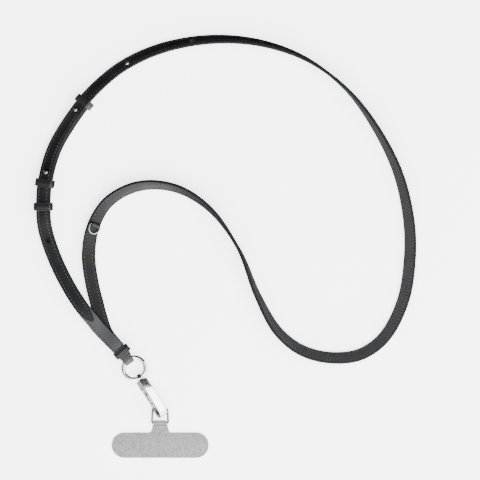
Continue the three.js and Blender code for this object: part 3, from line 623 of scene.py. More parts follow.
def ribbon(name, rows, top, under, painted_shade_rows=0):
    """A strap through rows of (frame, width, thickness), with painted edges and its length on the UV.
    On the first rows, which lie covered, the upper face has the lower one's darker leather as painted shade."""
    rings, ring_across = zip(*(section(at, width, thick) for at, width, thick in rows))
    sides = len(rings[0])
    upper = 2 * len(HALF_SECTION) - 2
    painted = sum(1 for inset, _ in HALF_SECTION if inset < EDGE_INSET) - 1
    rims = (0, upper - 1, upper, sides - 1)
    runs = [0.0]
    for (a, *_), (b, *_) in zip(rows, rows[1:]):
        runs.append(runs[-1] + (b.centre - a.centre).length)
    faces, uv, shades = [], [], []
    for (i, j, k, n), face in quads(len(rings), sides):
        faces.append(face)
        uv += [(ring_across[r][s], runs[r]) for r, s in ((i, k), (i, n), (j, n), (j, k))]
        if min(abs(k - rim) for rim in rims) < painted:
            shades.append(1)
        else:
            shades.append(0 if k < upper and i >= painted_shade_rows else 2)
    for ring, flip in ((0, True), (len(rings) - 1, False)):
        face = [ring * sides + s for s in range(sides)]
        faces.append(face[::-1] if flip else face)
        uv += [(i * CAP_UV_STEP, runs[ring]) for i in range(sides)]
        shades.append(1)
    points = [p + SHIFT for ring in rings for p in ring]
    return piece(name, points, faces, [top, EDGE, under], uv, shades)


def combine(made, operation, others):
    """Cuts closed pieces out of a piece, or joins them to it."""
    for other in others:
        change = made.modifiers.new(operation.lower(), "BOOLEAN")
        change.operation = operation
        change.solver = "MANIFOLD"
        change.object = other
    apply_modifiers(made)
    for other in others:
        bpy.data.objects.remove(other)


def prism(name, outline, depth, matrix, material, bevel=0.0, segments=EDGE_SEGMENTS):
    """An outline in its own plane, extruded to both sides of it, with rounded edges."""
    points = [matrix @ Vector((x, y, z)) for z in (-depth / 2, depth / 2) for x, y in outline]
    n = len(outline)
    faces = [tuple(range(n))[::-1], tuple(range(n, 2 * n))]
    faces += [(i, (i + 1) % n, n + (i + 1) % n, n + i) for i in range(n)]
    made = piece(name, points, faces, [material])
    if bevel:
        soft = made.modifiers.new("edges", "BEVEL")
        soft.width = bevel * MM
        soft.segments = segments
        soft.limit_method = "ANGLE"
        soft.angle_limit = math.radians(SHARP_TURN)
        apply_modifiers(made)
    return made


def basis(x, y, z, centre):
    return SHIFT_MATRIX @ Matrix((
        (x.x, y.x, z.x, centre.x), (x.y, y.y, z.y, centre.y), (x.z, y.z, z.z, centre.z), (0, 0, 0, 1)))


def standing(at):
    """The matrix of something that stands on a strap: X ahead, Y across, Z out of its face."""
    return basis(at.ahead, at.across, at.face, at.centre)


def ellipse(half_width, half_height, sides):
    turns = [2 * math.pi * i / sides for i in range(sides)]
    return [(half_width * math.cos(t), half_height * math.sin(t)) for t in turns]


def circle(radius, sides=ROUND_SIDES):
    return ellipse(radius, radius, sides)


def rectangle(x0, y0, x1, y1):
    return [(x0, y0), (x1, y0), (x1, y1), (x0, y1)]


def arc(x, y, radius, start, end, count):
    turns = [math.radians(start + (end - start) * i / count) for i in range(count + 1)]
    return [(x + radius * math.cos(t), y + radius * math.sin(t)) for t in turns]


def flat_shade(made, degrees=SHARP_TURN):
    """Smooth shading that keeps the sharp edges sharp."""
    made.data.shade_smooth()
    made.data.set_sharp_from_angle(angle=math.radians(degrees))
    return made


def crease_flats(made):
    """Keeps the corner between two broad flat faces crisp, however slightly they turn."""
    form = bmesh.new()
    form.from_mesh(made.data)
    for edge in form.edges:
        areas = [face.calc_area() for face in edge.link_faces]
        if len(areas) != 2 or min(areas) <= FLAT_AREA * MM * MM:
            continue
        if edge.calc_face_angle() > math.radians(FLAT_TURN):
            edge.smooth = False
    form.to_mesh(made.data)
    form.free()
    return made


def outward(made):
    """Points every face outwards."""
    form = bmesh.new()
    form.from_mesh(made.data)
    bmesh.ops.remove_doubles(form, verts=form.verts, dist=1e-7)
    bmesh.ops.recalc_face_normals(form, faces=form.faces)
    form.to_mesh(made.data)
    form.free()
    return made


def ball_profile(radius, height, start, count):
    """A ball's profile for the lathe, from an angle off its foot to its top."""
    turns = [math.radians(t) for t in np.linspace(start, 180, count)]
    profile = [(radius * math.sin(t), height - radius * math.cos(t)) for t in turns[:-1]]
    return profile + [(0, height + radius)]


def lathe(name, profile, matrix, material):
    """A profile of (radius, height) turned round its axis; its ends lie on the axis."""
    sides = ROUND_SIDES
    points = [(0, 0, profile[0][1])]
    for radius, height in profile[1:-1]:
        points += [(x, y, height) for x, y in circle(radius)]
    points.append((0, 0, profile[-1][1]))
    last = len(points) - 1
    faces = [tuple(1 + corner for corner in face) for _, face in quads(len(profile) - 2, sides)]
    for s in range(sides):
        n = (s + 1) % sides
        faces += [(0, 1 + n, 1 + s), (last - sides + s, last - sides + n, last)]
    return outward(piece(name, [matrix @ Vector(p) for p in points], faces, [material]))


def wire_loop(name, path, radius, matrix, material, sides=WIRE_SIDES):
    """A round wire along a closed path in its own plane."""
    flat = [Vector((x, y, 0)) for x, y in path]
    count = len(flat)
    points = []
    for i, p in enumerate(flat):
        travel = (flat[(i + 1) % count] - flat[i - 1]).normalized()
        side = Vector((travel.y, -travel.x, 0))
        points += [matrix @ (p + side * x + UP * y) for x, y in circle(radius, sides)]
    faces = [face for _, face in quads(count, sides, closed=True)]
    return outward(piece(name, points, faces, [material]))


def rod(name, radius, start, end, matrix, material, axis="X", bevel=0.0):
    """A round rod along its own X or Z axis."""
    along = Matrix.Rotation(math.pi / 2, 4, "Y") if axis == "X" else Matrix.Identity(4)
    middle = Matrix.Translation((0, 0, (start + end) / 2))
    return prism(name, circle(radius), end - start, matrix @ along @ middle, material, bevel)


# Long strap
tongue_steps = [TONGUE_TIP_RADIUS * share for share in TIP_SHARES]
tongue_steps += spread(TONGUE_TIP_RADIUS, TONGUE_TAPER, TAPER_STEP)
plain_steps = spread(TONGUE_TAPER, LONG_LENGTH - NECK_RUN, SECTION_STEP)[1:]
end_steps = spread(LONG_LENGTH - NECK_RUN, LONG_LENGTH - CLEARANCE / 2, NECK_STEP)[1:]
long_steps = tongue_steps + plain_steps + end_steps
long_rows = [(long_frame(d), long_width(d), STRAP_THICK) for d in long_steps]
long_strap = ribbon("long_strap_leather", long_rows, LEATHER, FLESH)
punch = ellipse(HOLE_LENGTH / 2, HOLE_WIDTH / 2, HOLE_SIDES)
punches = [prism("punch", punch, 3 * STRAP_THICK, standing(hole_frame(d)), EDGE) for d in HOLES]
combine(long_strap, "DIFFERENCE", punches)
settle(flat_shade(long_strap, SHARP_STRAP_TURN), "strap", "long_strap")


# Short strap: under the tongue, over the long strap's end, round the O-ring's wire and back
def ply_row(share, side):
    start = SHORT_KEEPER + KEEPER_LENGTH / 2
    at = short_frame(start + (SHORT_LENGTH - start) * share)
    ease = math.sin(share * math.pi / 2)
    gap = LAYER / 2 + (FOLD_MIDDLE - LAYER / 2) * ease
    centre = at.centre + at.ahead * FOLD_SAG * share
    centre.z = STACK_HEIGHT + side * gap
    width = NECK_WIDTH + (FOLD_WIDTH - NECK_WIDTH) * share
    return shifted(at, face=UP * side, centre=centre), width, STRAP_THICK + (FOLD_THICK - STRAP_THICK) * ease


under_steps = spread(0, SHORT_END, SECTION_STEP)
short_rows = [(under_tongue(d), STRAP_WIDTH, STRAP_THICK) for d in reversed(under_steps)]
keeper_near, keeper_far = SHORT_KEEPER - KEEPER_LENGTH / 2, SHORT_KEEPER + KEEPER_LENGTH / 2
landing_steps = spread(SHORT_TIP, keeper_near - KEEPER_LEVEL_RUN, LANDING_STEP)[1:]
short_rows += [(short_frame(d), STRAP_WIDTH, STRAP_THICK) for d in landing_steps]
short_stitched = list(short_rows)
short_rows += [(short_frame(d), NECK_WIDTH, STRAP_THICK) for d in (keeper_near, keeper_far)]
shares = [i / PLY_ROWS for i in range(1, PLY_ROWS + 1)]
short_rows += [ply_row(share, 1) for share in shares]
fold_centre = wire_point + fold_ahead * FOLD_SAG
for turn in range(FOLD_TURN_STEP, 180, FOLD_TURN_STEP):
    face = UP * math.cos(math.radians(turn)) + fold_ahead * math.sin(math.radians(turn))
    at = Frame(fold_centre + face * FOLD_MIDDLE, fold_end.across, face, fold_ahead)
    short_rows.append((at, FOLD_WIDTH, FOLD_THICK))
short_rows += [ply_row(share, -1) for share in reversed(shares)]
for distance in (keeper_far, SHORT_KEEPER + CLEARANCE / 2):
    at = short_frame(distance)
    centre = Vector((at.centre.x, at.centre.y, STACK_HEIGHT - LAYER / 2))
    short_rows.append((shifted(at, face=-UP, centre=centre), NECK_WIDTH, STRAP_THICK))
# Painted shade under the tongue: these covered rows' upper face takes the darker leather
painted_shade_rows = sum(1 for d in under_steps if d > PAINTED_SHADE_FROM_TIP)
short_strap = ribbon("short_strap_leather", short_rows, LINING, LEATHER, painted_shade_rows)


def stud_frame(hole):
    at = hole_frame(HOLES[hole])
    return shifted(at, centre=at.centre - at.face * (LAYER + STRAP_THICK / 2))


recesses = []
flange_depth = 2 * (STUD_FLANGE_THICK + CLEARANCE)
for hole in STUD_HOLES:
    matrix = standing(stud_frame(hole))
    for radius, depth in ((STUD_NECK_RADIUS, 3 * STRAP_THICK), (STUD_FLANGE_RADIUS, flange_depth)):
        recesses.append(prism("recess", circle(radius + CLEARANCE, HOLE_SIDES), depth, matrix, EDGE))
combine(short_strap, "DIFFERENCE", recesses)
settle(flat_shade(short_strap, SHARP_STRAP_TURN), "strap", "short_strap")


# Stitches: rows of thread beside the straps' edges, laid by one Geometry Nodes tree
def stitch_tree():
    """Lays a bead of thread at each step along a line of points, and between two beads a dark bead of painted
    shade for the slit.
    Both stand on the attribute that says which way is out of the leather."""
    tree = bpy.data.node_groups.new("saddle_stitching", "GeometryNodeTree")
    face = tree.interface
    face.new_socket("Geometry", in_out="INPUT", socket_type="NodeSocketGeometry")
    for label, value in (("Pitch", STITCH_PITCH), ("Stitch length", STITCH_LENGTH),
                         ("Thread width", THREAD_WIDTH), ("Hole width", SLIT_SHADE_WIDTH)):
        socket = face.new_socket(label, in_out="INPUT", socket_type="NodeSocketFloat")
        socket.default_value = value * MM
    for label in ("Thread", "Hole"):
        face.new_socket(label, in_out="INPUT", socket_type="NodeSocketMaterial")
    face.new_socket("Geometry", in_out="OUTPUT", socket_type="NodeSocketGeometry")
    given = add_node(tree, "NodeGroupInput").outputs
    line = add_node(tree, "GeometryNodeMeshToCurve", {"Mesh": given["Geometry"]})
    even = add_node(tree, "GeometryNodeResampleCurve", {
        "Curve": line, "Length": given["Pitch"]}, mode="LENGTH")
    out = add_node(tree, "GeometryNodeInputNamedAttribute", {"Name": "out"}, data_type="FLOAT_VECTOR")
    travel = add_node(tree, "GeometryNodeInputTangent")
    stand = add_node(tree, "FunctionNodeAlignRotationToVector", {"Vector": out}, axis="Z")
    turn = add_node(tree, "FunctionNodeAlignRotationToVector", {
        "Rotation": stand, "Vector": travel}, axis="X", pivot_axis="Z")
    parts = []
    # The second bead is painted shade for the slit between two stitches
    for length, width, height, share, material in (
            ("Stitch length", "Thread width", THREAD_HEIGHT, 0.0, "Thread"),
            ("Hole width", "Hole width", SLIT_SHADE_HEIGHT, 0.5, "Hole")):
        bead = add_node(tree, "GeometryNodeMeshUVSphere", {
            "Segments": BEAD_SIDES, "Rings": BEAD_RINGS, "Radius": 0.5})
        flat = add_node(tree, "ShaderNodeMath", {0: given[width], 1: height}, operation="MULTIPLY")
        size = add_node(tree, "ShaderNodeCombineXYZ", {"X": given[length], "Y": given[width], "Z": flat})
        shift = add_node(tree, "ShaderNodeMath", {0: given["Pitch"], 1: share}, operation="MULTIPLY")
        offset = add_node(tree, "ShaderNodeCombineXYZ", {"X": shift})
        shaped = add_node(tree, "GeometryNodeTransform", {
            "Geometry": bead, "Translation": offset, "Scale": size})
        laid = add_node(tree, "GeometryNodeInstanceOnPoints", {
            "Points": even, "Instance": shaped, "Rotation": turn})
        real = add_node(tree, "GeometryNodeRealizeInstances", {"Geometry": laid})
        soft = add_node(tree, "GeometryNodeSetShadeSmooth", {"Geometry": real})
        parts.append(add_node(tree, "GeometryNodeSetMaterial", {
            "Geometry": soft, "Material": given[material]}))
    whole = add_node(tree, "GeometryNodeJoinGeometry")
    for part in reversed(parts):
        feed(tree, whole, {"Geometry": part})
    add_node(tree, "NodeGroupOutput", {"Geometry": whole})
    return tree


STITCHING = stitch_tree()


def stitches(name, rows):
    """Stitches along rows, each a list of (point, direction out of the leather)."""
    points, edges, outs = [], [], []
    for row in rows:
        start = len(points)
        points += [(p + SHIFT) * MM for p, _ in row]
        outs += [out for _, out in row]
        edges += [(i, i + 1) for i in range(start, len(points) - 1)]
    mesh = bpy.data.meshes.new(name)
    mesh.from_pydata(points, edges, [])
    layer = mesh.attributes.new("out", "FLOAT_VECTOR", "POINT")
    layer.data.foreach_set("vector", np.array(outs, np.float32).ravel())
    made = put(name, mesh)
    change = made.modifiers.new("stitching", "NODES")
    change.node_group = STITCHING
    given = {"Thread": THREAD, "Hole": HOLE_SHADE}
    for item in STITCHING.interface.items_tree:
        if item.name in given:
            change[item.identifier] = given[item.name]
    apply_modifiers(made)
    settle(made, "strap", None)


def stitch_row(rows, hand, side):
    """One row beside an edge, on the upper or lower face."""
    made = []
    for at, width, thick in rows:
        across = hand * max(STITCH_LEAST_OFFSET, width / 2 - STITCH_INSET)
        point = at.centre + at.across * across + at.face * side * (thick / 2 - STITCH_SINK)
        made.append((point, at.face * side))
    return made


def edge_rows(rows, hands):
    return [stitch_row(rows, hand, side) for side in (1, -1) for hand in hands]


long_stitched = [row for d, row in zip(long_steps, long_rows) if d > STITCH_START]
stitches("long_strap_stitches", edge_rows(long_stitched, (1, -1)))
# The short strap is stitched along its outer edge only
stitches("short_strap_stitches", edge_rows(short_stitched, (-1,)))


# Keepers: bands of leather round both straps, with painted edges
def keeper(node, at, strap_width):
    width = strap_width + 2 * CLEARANCE + KEEPER_WALL
    height = STRAP_THICK + LAYER + 2 * CLEARANCE + KEEPER_WALL
    corner = KEEPER_CORNER - KEEPER_WALL / 2
    w, h = width / 2 - corner, height / 2 - corner
    path = []
    for cx, cy, start in ((w, -h, -90), (w, h, 0), (-w, h, 90), (-w, -h, 180)):
        for i, p in enumerate(arc(cx, cy, corner, start, start + 90, CORNER_STEPS)):
            path.append((p, math.radians(start + 90 * i / CORNER_STEPS)))
    dense = []
    for ((x, y), turn), ((x1, y1), _) in zip(path, path[1:] + path[:1]):
        count = max(1, round(math.dist((x, y), (x1, y1)) / KEEPER_STEP))
        dense += [((x + (x1 - x) * i / count, y + (y1 - y) * i / count), turn) for i in range(count)]
    half, wall = KEEPER_LENGTH / 2, KEEPER_WALL / 2
    outer = [(-half + inset, wall - drop) for inset, drop in KEEPER_SECTION] + [(0, wall + KEEPER_SWELL)]
    profile = outer + [(-s, r) for s, r in reversed(outer[:-1])]
    profile += [(s, -r) for s, r in reversed(profile[1:-1])]
    sides, count = len(profile), len(dense)
    runs, points = [0.0], []
    for i, ((x, y), turn) in enumerate(dense):
        normal = at.across * math.cos(turn) + at.face * math.sin(turn)
        centre = at.centre + at.across * x + at.face * y
        points += [centre + at.ahead * s + normal * r + SHIFT for s, r in profile]
        runs.append(runs[-1] + math.dist((x, y), dense[(i + 1) % count][0]))
    faces, uv, shades = [], [], []
    for (i, _, k, n), face in quads(count, sides, closed=True):
        faces.append(face)
        uv += [(profile[s][0], runs[r]) for r, s in ((i, k), (i, n), (i + 1, n), (i + 1, k))]
        reach = min(abs(profile[k][0]), abs(profile[n][0]))
        shades.append(1 if reach > half - KEEPER_EDGE_INSET else 0)
    made = piece(f"{node}_band", points, faces, [BAND, BAND_EDGE], uv, shades)
    settle(outward(made), "strap", node)


for node, distance in zip(("upper_keeper", "middle_keeper", "lower_keeper"), TONGUE_KEEPERS):
    at = long_frame(distance)
    keeper(node, shifted(at, centre=at.centre - at.face * LAYER / 2), STRAP_WIDTH)
at = short_frame(SHORT_KEEPER)
centre = Vector((at.centre.x, at.centre.y, STACK_HEIGHT))
keeper("ring_keeper", shifted(at, centre=centre), NECK_WIDTH)

# Ball studs
BALL_HEIGHT = 2 * STRAP_THICK + CLEARANCE + STUD_BALL_RADIUS - STUD_BALL_SINK
rim = STUD_FLANGE_RADIUS - FLANGE_EDGE
flange = [
    (0, 0), (rim, 0), (STUD_FLANGE_RADIUS, FLANGE_EDGE),
    (STUD_FLANGE_RADIUS, STUD_FLANGE_THICK - FLANGE_EDGE), (rim, STUD_FLANGE_THICK),
    (STUD_NECK_RADIUS, STUD_FLANGE_THICK),
]
start = math.degrees(math.asin(STUD_NECK_RADIUS / STUD_BALL_RADIUS))
stud_profile = flange + ball_profile(STUD_BALL_RADIUS, BALL_HEIGHT, start, BALL_STEPS)
for node, hole in zip(("lower_stud", "upper_stud"), STUD_HOLES):
    made = lathe(f"{node}_turned", stud_profile, standing(stud_frame(hole)), STUD_STEEL)
    settle(flat_shade(made, SHARP_STUD_TURN), "strap", node)

# D-ring, and the leather tab that holds its bar
d_at = long_frame(LONG_LENGTH - D_RING_FROM_END)
D_BAR_HEIGHT = STRAP_THICK / 2 + CLEARANCE + D_TWIST_ROOM + D_RING_WIRE
d_matrix = standing(shifted(d_at, centre=d_at.centre + d_at.face * D_BAR_HEIGHT))
d_half = D_RING_WIDTH / 2 - D_RING_WIRE
d_leg = D_RING_DEPTH - 2 * D_RING_WIRE - d_half
d_corner, d_side = D_RING_CORNER, d_half - D_RING_CORNER
d_path = arc(d_corner, -d_side, d_corner, 180, 270, D_CORNER_STEPS)
d_path += arc(d_leg, 0, d_half, -90, 90, D_BOW_STEPS)
d_path += arc(d_corner, d_side, d_corner, 90, 180, D_CORNER_STEPS)
d_path += [(0, D_BAR_SHARE * d_half * (1 - 2 * i / D_BAR_STEPS)) for i in range(1, D_BAR_STEPS)]
d_ring = wire_loop("d_ring_wire", d_path, D_RING_WIRE, d_matrix, EYE_STEEL)
settle(d_ring, "d_ring", "d_ring")

tab_inner = D_RING_WIRE + CLEARANCE
tab_outer = tab_inner + D_TAB_THICK
tab_foot = CLEARANCE + STRAP_THICK / 2 - D_BAR_HEIGHT
d_tab_outline = [(tab_outer, tab_foot)] + arc(0, 0, tab_outer, 0, 180, D_TAB_STEPS)
d_tab_outline += [(-tab_outer, tab_foot), (-tab_inner, tab_foot)]
d_tab_outline += arc(0, 0, tab_inner, 180, 0, D_TAB_INNER_STEPS) + [(tab_inner, tab_foot)]
D_TAB_WIDTH = D_RING_WIDTH - 4 * D_RING_WIRE - 2 * CLEARANCE
side_on = Matrix.Rotation(math.pi / 2, 4, "X")
d_tab = prism("d_ring_tab_leather", d_tab_outline, D_TAB_WIDTH, d_matrix @ side_on, TAB_SKIN, D_TAB_EDGE)
settle(flat_shade(d_tab), "strap", "d_ring_tab")

# O-ring
ring_side = Vector((-fold_ahead.y, fold_ahead.x, 0)).normalized()
ring_matrix = basis(ring_ahead, ring_side, ring_ahead.cross(ring_side), ring_centre)
ring_path = arc(0, 0, O_RING_RADIUS, 0, 360, RING_STEPS)[:-1]
o_ring = wire_loop("o_ring_cast", ring_path, O_RING_WIRE, ring_matrix, STEEL, RING_SIDES)
settle(o_ring, "strap", "o_ring")

# Swivel eye: a flat band round the O-ring's wire, with its post and head
eye_centre = ring_centre + hook_direction * O_RING_RADIUS
eye_centre.z = HOOK_HEIGHT
SWIVEL_REACH = O_RING_WIRE + CLEARANCE + SWIVEL_PLAY
EYE_INNER = O_RING_WIRE + CLEARANCE + EYE_PLAY
EYE_OUTER = EYE_INNER + EYE_WALL
hook_left = UP.cross(hook_direction)
eye_matrix = basis(hook_direction, hook_left, UP, eye_centre)
eye_side_on = eye_matrix @ side_on
eye_ring, eye_hole = circle(EYE_OUTER, EYE_SIDES), circle(EYE_INNER, EYE_SIDES)
band = prism("swivel_eye_band", eye_ring, EYE_WIDTH, eye_side_on, EYE_STEEL, EYE_EDGE)
combine(band, "DIFFERENCE", [prism("eye_hole", eye_hole, EYE_WIDTH + OVERCUT, eye_side_on, EYE_STEEL)])
head_from = SWIVEL_REACH + HOOK_COLLAR + CLEARANCE
head_middle, head_to = head_from + EYE_HEAD_THICK / 2, head_from + EYE_HEAD_THICK
post = rod("eye_post", EYE_POST_RADIUS, EYE_INNER + EYE_WALL / 2, head_middle, eye_matrix, EYE_STEEL)
head = rod("eye_head", EYE_HEAD_RADIUS, head_from, head_to, eye_matrix, EYE_STEEL, bevel=EYE_HEAD_EDGE)
combine(band, "UNION", [post, head])
settle(flat_shade(band), "strap", "swivel_eye")

# Hook: X along it from the eye, Y from the gate to the spine, Z through the loop
hook_start = eye_centre + hook_direction * SWIVEL_REACH
hook_matrix = basis(hook_direction, hook_left, UP, hook_start) @ Matrix.Rotation(roll, 4, "X")
hook_half = HOOK_WIDTH / 2
gate_inside = -hook_half + GATE_THICK
gate_end = HOOK_LENGTH - GATE_SETBACK
spine_inside = hook_half - HOOK_WALL
hinge = (HOOK_HEAD_LENGTH - GATE_THICK / 2, -hook_half + GATE_LUG_RADIUS)


def hook_outline():
    bow, shoulder, corner = HOOK_BOW_RADIUS, HOOK_SHOULDER, HOOK_WINDOW_CORNER
    mouth = gate_end + CLEARANCE
    window_end = HOOK_LENGTH - HOOK_WALL
    gate_front, spine_front = -hook_half + HOOK_GATE_DROP, hook_half - HOOK_SPINE_DROP
    line = [(HOOK_HEAD_LENGTH, -hook_half)]
    line += arc(HOOK_HEAD_LENGTH + corner, spine_inside - corner, corner, 180, 90, CORNER_STEPS)
    line += arc(window_end - corner, spine_inside - corner, corner, 90, 0, CORNER_STEPS)
    line += arc(window_end - corner, gate_inside + corner, corner, 0, -90, CORNER_STEPS)
    line += [(mouth, gate_inside), (mouth, -hook_half)]
    line += arc(HOOK_LENGTH - bow, -hook_half + bow, bow, -90, 0, BOW_STEPS)
    line += arc(HOOK_LENGTH - bow, hook_half - bow, bow, 0, 90, BOW_STEPS)
    line += [(HOOK_SPINE_FACET, hook_half)]
    line += arc(shoulder, spine_front - shoulder, shoulder, 90, 180, CORNER_STEPS)
    line += arc(shoulder, gate_front + shoulder, shoulder, 180, 270, CORNER_STEPS)
    return line


hook = prism("hook_body_cast", hook_outline(), HOOK_DEPTH, hook_matrix, STEEL, HOOK_EDGE, HOOK_EDGE_SEGMENTS)
swing = math.hypot(EYE_OUTER, EYE_WIDTH / 2) + SWIVEL_PLAY
at_eye = hook_matrix @ Matrix.Translation((-SWIVEL_REACH, 0, 0))
dimple = lathe("dimple", ball_profile(swing, 0, 0, DIMPLE_STEPS), at_eye, STEEL)
bore = rod("bore", EYE_POST_RADIUS + CLEARANCE, 0, HOOK_COLLAR + OVERCUT, hook_matrix, STEEL)
head_room = EYE_HEAD_RADIUS + CLEARANCE
pocket = rod("pocket", head_room, HOOK_COLLAR, HOOK_HEAD_LENGTH + OVERCUT, hook_matrix, STEEL)
lug_room = GATE_LUG_RADIUS + CLEARANCE
lug_reach = lug_room + OVERCUT / 2
slot_outline = rectangle(hinge[0] - lug_reach, hinge[1] - lug_room, hinge[0] + lug_reach, hinge[1] + lug_room)
slot = prism("slot", slot_outline, GATE_LUG_DEPTH + 2 * CLEARANCE, hook_matrix, STEEL)
at_hinge = hook_matrix @ Matrix.Translation((*hinge, 0))
pin_bore = rod("pin_bore", GATE_PIN_RADIUS + PIN_FIT, -HOOK_DEPTH, HOOK_DEPTH, at_hinge, STEEL, "Z")
combine(hook, "DIFFERENCE", [dimple, bore, pocket, slot, pin_bore])
settle(crease_flats(flat_shade(hook, SHARP_CAST_TURN)), "hook", "hook_body")

pin_half = HOOK_DEPTH / 2
pin = rod("gate_pin_turned", GATE_PIN_RADIUS, -pin_half, pin_half, at_hinge, WIRE_STEEL, "Z", PIN_EDGE)
settle(flat_shade(pin), "hook", "gate_pin")

gate_from = HOOK_HEAD_LENGTH + 2 * CLEARANCE
gate_outline = rectangle(gate_from, gate_inside - GATE_THICK, gate_end, gate_inside)
gate = prism("hook_gate_cast", gate_outline, GATE_DEPTH, hook_matrix, STEEL, GATE_CORNER)
lug = rod("lug", GATE_LUG_RADIUS, -GATE_LUG_DEPTH / 2, GATE_LUG_DEPTH / 2, at_hinge, STEEL, "Z")
level = gate_inside - GATE_THICK / 2
neck_outline = rectangle(
    hinge[0], level - GATE_NECK_HALF, gate_from + GATE_NECK_REACH, level + GATE_NECK_HALF)
neck = prism("neck", neck_outline, GATE_LUG_DEPTH, hook_matrix, STEEL)
combine(gate, "UNION", [lug, neck])
gate_bore = rod("gate_bore", GATE_PIN_RADIUS + CLEARANCE, -HOOK_DEPTH, HOOK_DEPTH, at_hinge, STEEL, "Z")
combine(gate, "DIFFERENCE", [gate_bore])
settle(flat_shade(gate, SHARP_CAST_TURN), "gate", "hook_gate")


# Bail: a wire frame from the hook's bow to the phone tab's fold
FOLD_RADIUS = BAIL_WIRE + CLEARANCE + TAB_THICK
bail_top = hook_start + hook_direction * (HOOK_LENGTH - BAIL_SETBACK)
bail_top.x += BAIL_OFFSET
bail_drop = bail_top.z - FOLD_RADIUS
bail_run = math.sqrt(BAIL_REACH**2 - bail_drop**2)
bail_tip = math.atan2(bail_drop, bail_run)
bail_foot = Vector((bail_top.x, bail_top.y - bail_run, FOLD_RADIUS))
bail_path = []
half_top, half_foot = BAIL_TOP_WIDTH / 2 - BAIL_WIRE, BAIL_FOOT_WIDTH / 2 - BAIL_WIRE
corner = BAIL_CORNER
for x, y, start in (
        (half_foot - corner, -BAIL_REACH + corner, -90), (half_top - corner, -corner, 0),
        (-half_top + corner, -corner, 90), (-half_foot + corner, -BAIL_REACH + corner, 180)):
    bail_path += arc(x, y, corner, start, start + 90, CORNER_STEPS)
bail_matrix = SHIFT_MATRIX @ Matrix.Translation(bail_top) @ Matrix.Rotation(bail_tip, 4, "X")
bail = wire_loop("bail_wire", bail_path, BAIL_WIRE, bail_matrix, WIRE_STEEL)
settle(bail, "hook", "bail")


# Phone tab: a pill whose stem folds round the bail's foot
def tab_outline():
    r, top = TAB_HEIGHT / 2, -TAB_STEM_LENGTH
    middle, flare = top - TAB_HEIGHT / 2, (TAB_STEM_FLARE - TAB_STEM_WIDTH) / 2

    def flared(hand):
        a = (hand * (TAB_STEM_FLARE / 2 + flare), top)
        b = (hand * (TAB_STEM_FLARE / 2 - flare / 2), top)
        c = (hand * TAB_STEM_WIDTH / 2, -FOLD_RADIUS)
        line = []
        for t in np.linspace(0, 1, FLARE_STEPS):
            line.append(tuple((1 - t) ** 2 * p + 2 * t * (1 - t) * q + t * t * s for p, q, s in zip(a, b, c)))
        return line

    fold = TAB_FOLD_WIDTH / 2
    line = arc(TAB_WIDTH / 2 - r, middle, r, -90, 90, TAB_END_STEPS) + flared(1)
    line += [(fold, -FOLD_RADIUS / 2), (fold, 0), (-fold, 0), (-fold, -FOLD_RADIUS / 2)]
    return line + flared(-1)[::-1] + arc(-TAB_WIDTH / 2 + r, middle, r, 90, 270, TAB_END_STEPS)


foot_matrix = SHIFT_MATRIX @ Matrix.Translation(bail_foot)
# The felt carries a painted shadow line a little below the bail's foot
FELT = fleck_felt(foot_matrix.translation.y - LAP_SHADOW_REACH * FOLD_RADIUS)
tab_matrix = foot_matrix @ Matrix.Translation((0, 0, TAB_THICK / 2 - FOLD_RADIUS))
tab = prism("phone_tab_felt", tab_outline(), TAB_THICK, tab_matrix, FELT, TAB_EDGE)
lap_level = -FOLD_RADIUS + TAB_THICK
lap = arc(0, 0, FOLD_RADIUS, -90, TAB_LAP_TURN - LAP_SLOPE_TURN, TAB_END_STEPS)
lap += [(-LAP_SLOPE_REACH * FOLD_RADIUS, lap_level + LAP_SLOPE_HEIGHT)]
lap += [(-TAB_LAP_LENGTH, lap_level), (-TAB_LAP_LENGTH, -FOLD_RADIUS)]
lap_matrix = foot_matrix @ Matrix(((0, 0, 1, 0), (1, 0, 0, 0), (0, 1, 0, 0), (0, 0, 0, 1)))
fold = prism("tab_fold", lap, TAB_FOLD_WIDTH, lap_matrix, FELT, TAB_LAP_EDGE)
combine(tab, "UNION", [fold])
foot_bore = rod("foot_bore", BAIL_WIRE + CLEARANCE, -TAB_WIDTH / 2, TAB_WIDTH / 2, foot_matrix, FELT)
combine(tab, "DIFFERENCE", [foot_bore])
settle(flat_shade(tab, SHARP_CAST_TURN), "tab", "phone_tab")


# Floor and soft studio light
FLOOR_HALF = 3000.0
FLOOR_GLOW = 2.2


def studio_floor():
    """Matt white acrylic, lit from below, so that it throws hardly any shadow."""
    material, tree, shader, _ = mottled(
        "lit_white_acrylic", "ShaderNodeTexNoise", {"Scale": 6.0}, "#f6f6f6", "#fafafa", 0.9, 0.1)
    feed(tree, shader, {"Emission Color": linear("#ffffff"), "Emission Strength": FLOOR_GLOW})
    return material


floor_points = [(x, y, 0) for x, y in rectangle(-FLOOR_HALF, -FLOOR_HALF, FLOOR_HALF, FLOOR_HALF)]
floor = piece("floor", floor_points, [(0, 1, 2, 3)], [studio_floor()])
floor.visible_glossy = False

# The tent of light: its brightest direction, and its levels from the dark side to the bright one
DOME_STRENGTH = 8.5
DOME_FRONT = (0.35, -0.9, 0.1)
DOME_LEVELS = ((0.05, 0.006), (0.40, 0.013), (0.50, 0.14), (0.72, 0.32), (0.90, 1.0))
# It dims to this level low down, away from the front, and again far below
DOME_DIM = 0.04
DOME_LOW = {"From Min": -0.1, "From Max": 0.35, "To Min": DOME_DIM}
DOME_NEAR = {"From Min": 0.32, "From Max": 0.62}
DOME_UNDER = {"From Min": -0.9, "From Max": -0.65, "To Min": DOME_DIM}
# Grey cards at the left: direction, where their soft edge starts, and level
DOME_CARDS = (((-0.9, 0.42, 0.05), 0.86, 0.3), ((-0.66, -0.5, -0.56), 0.88, 0.09))
CARD_EDGE_END = 0.97


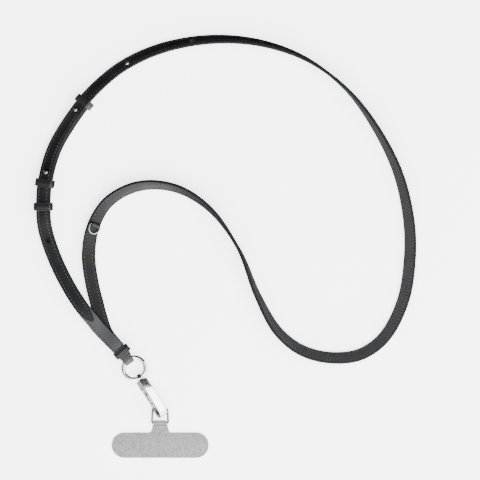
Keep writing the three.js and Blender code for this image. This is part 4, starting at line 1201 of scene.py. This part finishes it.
def studio_dome():
    """A white tent, brightest low at the front right, dark behind and underneath, with two grey cards."""
    dome = bpy.data.worlds.new("studio_dome")
    dome.use_nodes = True
    tree = dome.node_tree
    around = add_node(tree, "ShaderNodeTexCoord").outputs["Generated"]
    front = add_node(tree, "ShaderNodeVectorMath", {0: around, 1: DOME_FRONT}, operation="DOT_PRODUCT")
    share = add_node(tree, "ShaderNodeMapRange", {
        "Value": front.outputs["Value"], "From Min": -1.0, "From Max": 1.0})
    light = add_node(tree, "ShaderNodeValToRGB", {"Fac": share})
    stops = light.color_ramp.elements
    for position, _ in DOME_LEVELS[1:-1]:
        stops.new(position)
    for stop, (position, level) in zip(stops, DOME_LEVELS):
        stop.position = position
        stop.color = (level, level, level, 1)
    height = add_node(tree, "ShaderNodeSeparateXYZ", {"Vector": around}).outputs["Z"]
    low, near, under = (
        add_node(tree, "ShaderNodeMapRange", {"Value": value, **limits})
        for value, limits in ((height, DOME_LOW), (front.outputs["Value"], DOME_NEAR), (height, DOME_UNDER)))
    lit = add_node(tree, "ShaderNodeMath", {0: low, 1: near}, operation="MAXIMUM")
    share_lit = add_node(tree, "ShaderNodeMath", {0: lit, 1: under}, operation="MULTIPLY")
    both = add_node(tree, "ShaderNodeVectorMath", {0: light, "Scale": share_lit}, operation="SCALE")
    for direction, edge, level in DOME_CARDS:
        side = add_node(tree, "ShaderNodeVectorMath", {0: around, 1: direction}, operation="DOT_PRODUCT")
        card = add_node(tree, "ShaderNodeMapRange", {
            "Value": side.outputs["Value"], "From Min": edge, "From Max": CARD_EDGE_END, "To Max": level})
        both = add_node(tree, "ShaderNodeVectorMath", {0: both, 1: card})
    feed(tree, tree.nodes["Background"], {"Color": both, "Strength": DOME_STRENGTH})
    bpy.context.scene.world = dome


studio_dome()


def softbox(name, position, aim, size, watts, mirrored=True):
    """A rectangular soft light that the camera doesn't see."""
    lamp = bpy.data.lights.new(name, "AREA")
    lamp.shape = "RECTANGLE"
    lamp.size, lamp.size_y = size
    lamp.energy = watts
    made = put(name, lamp)
    made.location = position
    made.rotation_euler = (Vector(aim) - Vector(position)).to_track_quat("-Z", "Y").to_euler()
    made.visible_camera = False
    made.visible_glossy = mirrored


softbox("front_softbox", (0.0, -0.33, 0.45), (0, -0.1, 0), (0.35, 0.3), 2.6)
softbox("right_softbox", (0.565, 0.14, 0.61), (-0.055, -0.11, 0), (0.5, 0.5), 6.5)
softbox("overhead_fill", (0.0, 0.05, 1.1), (0, 0, 0), (1.0, 1.0), 12.0, mirrored=False)
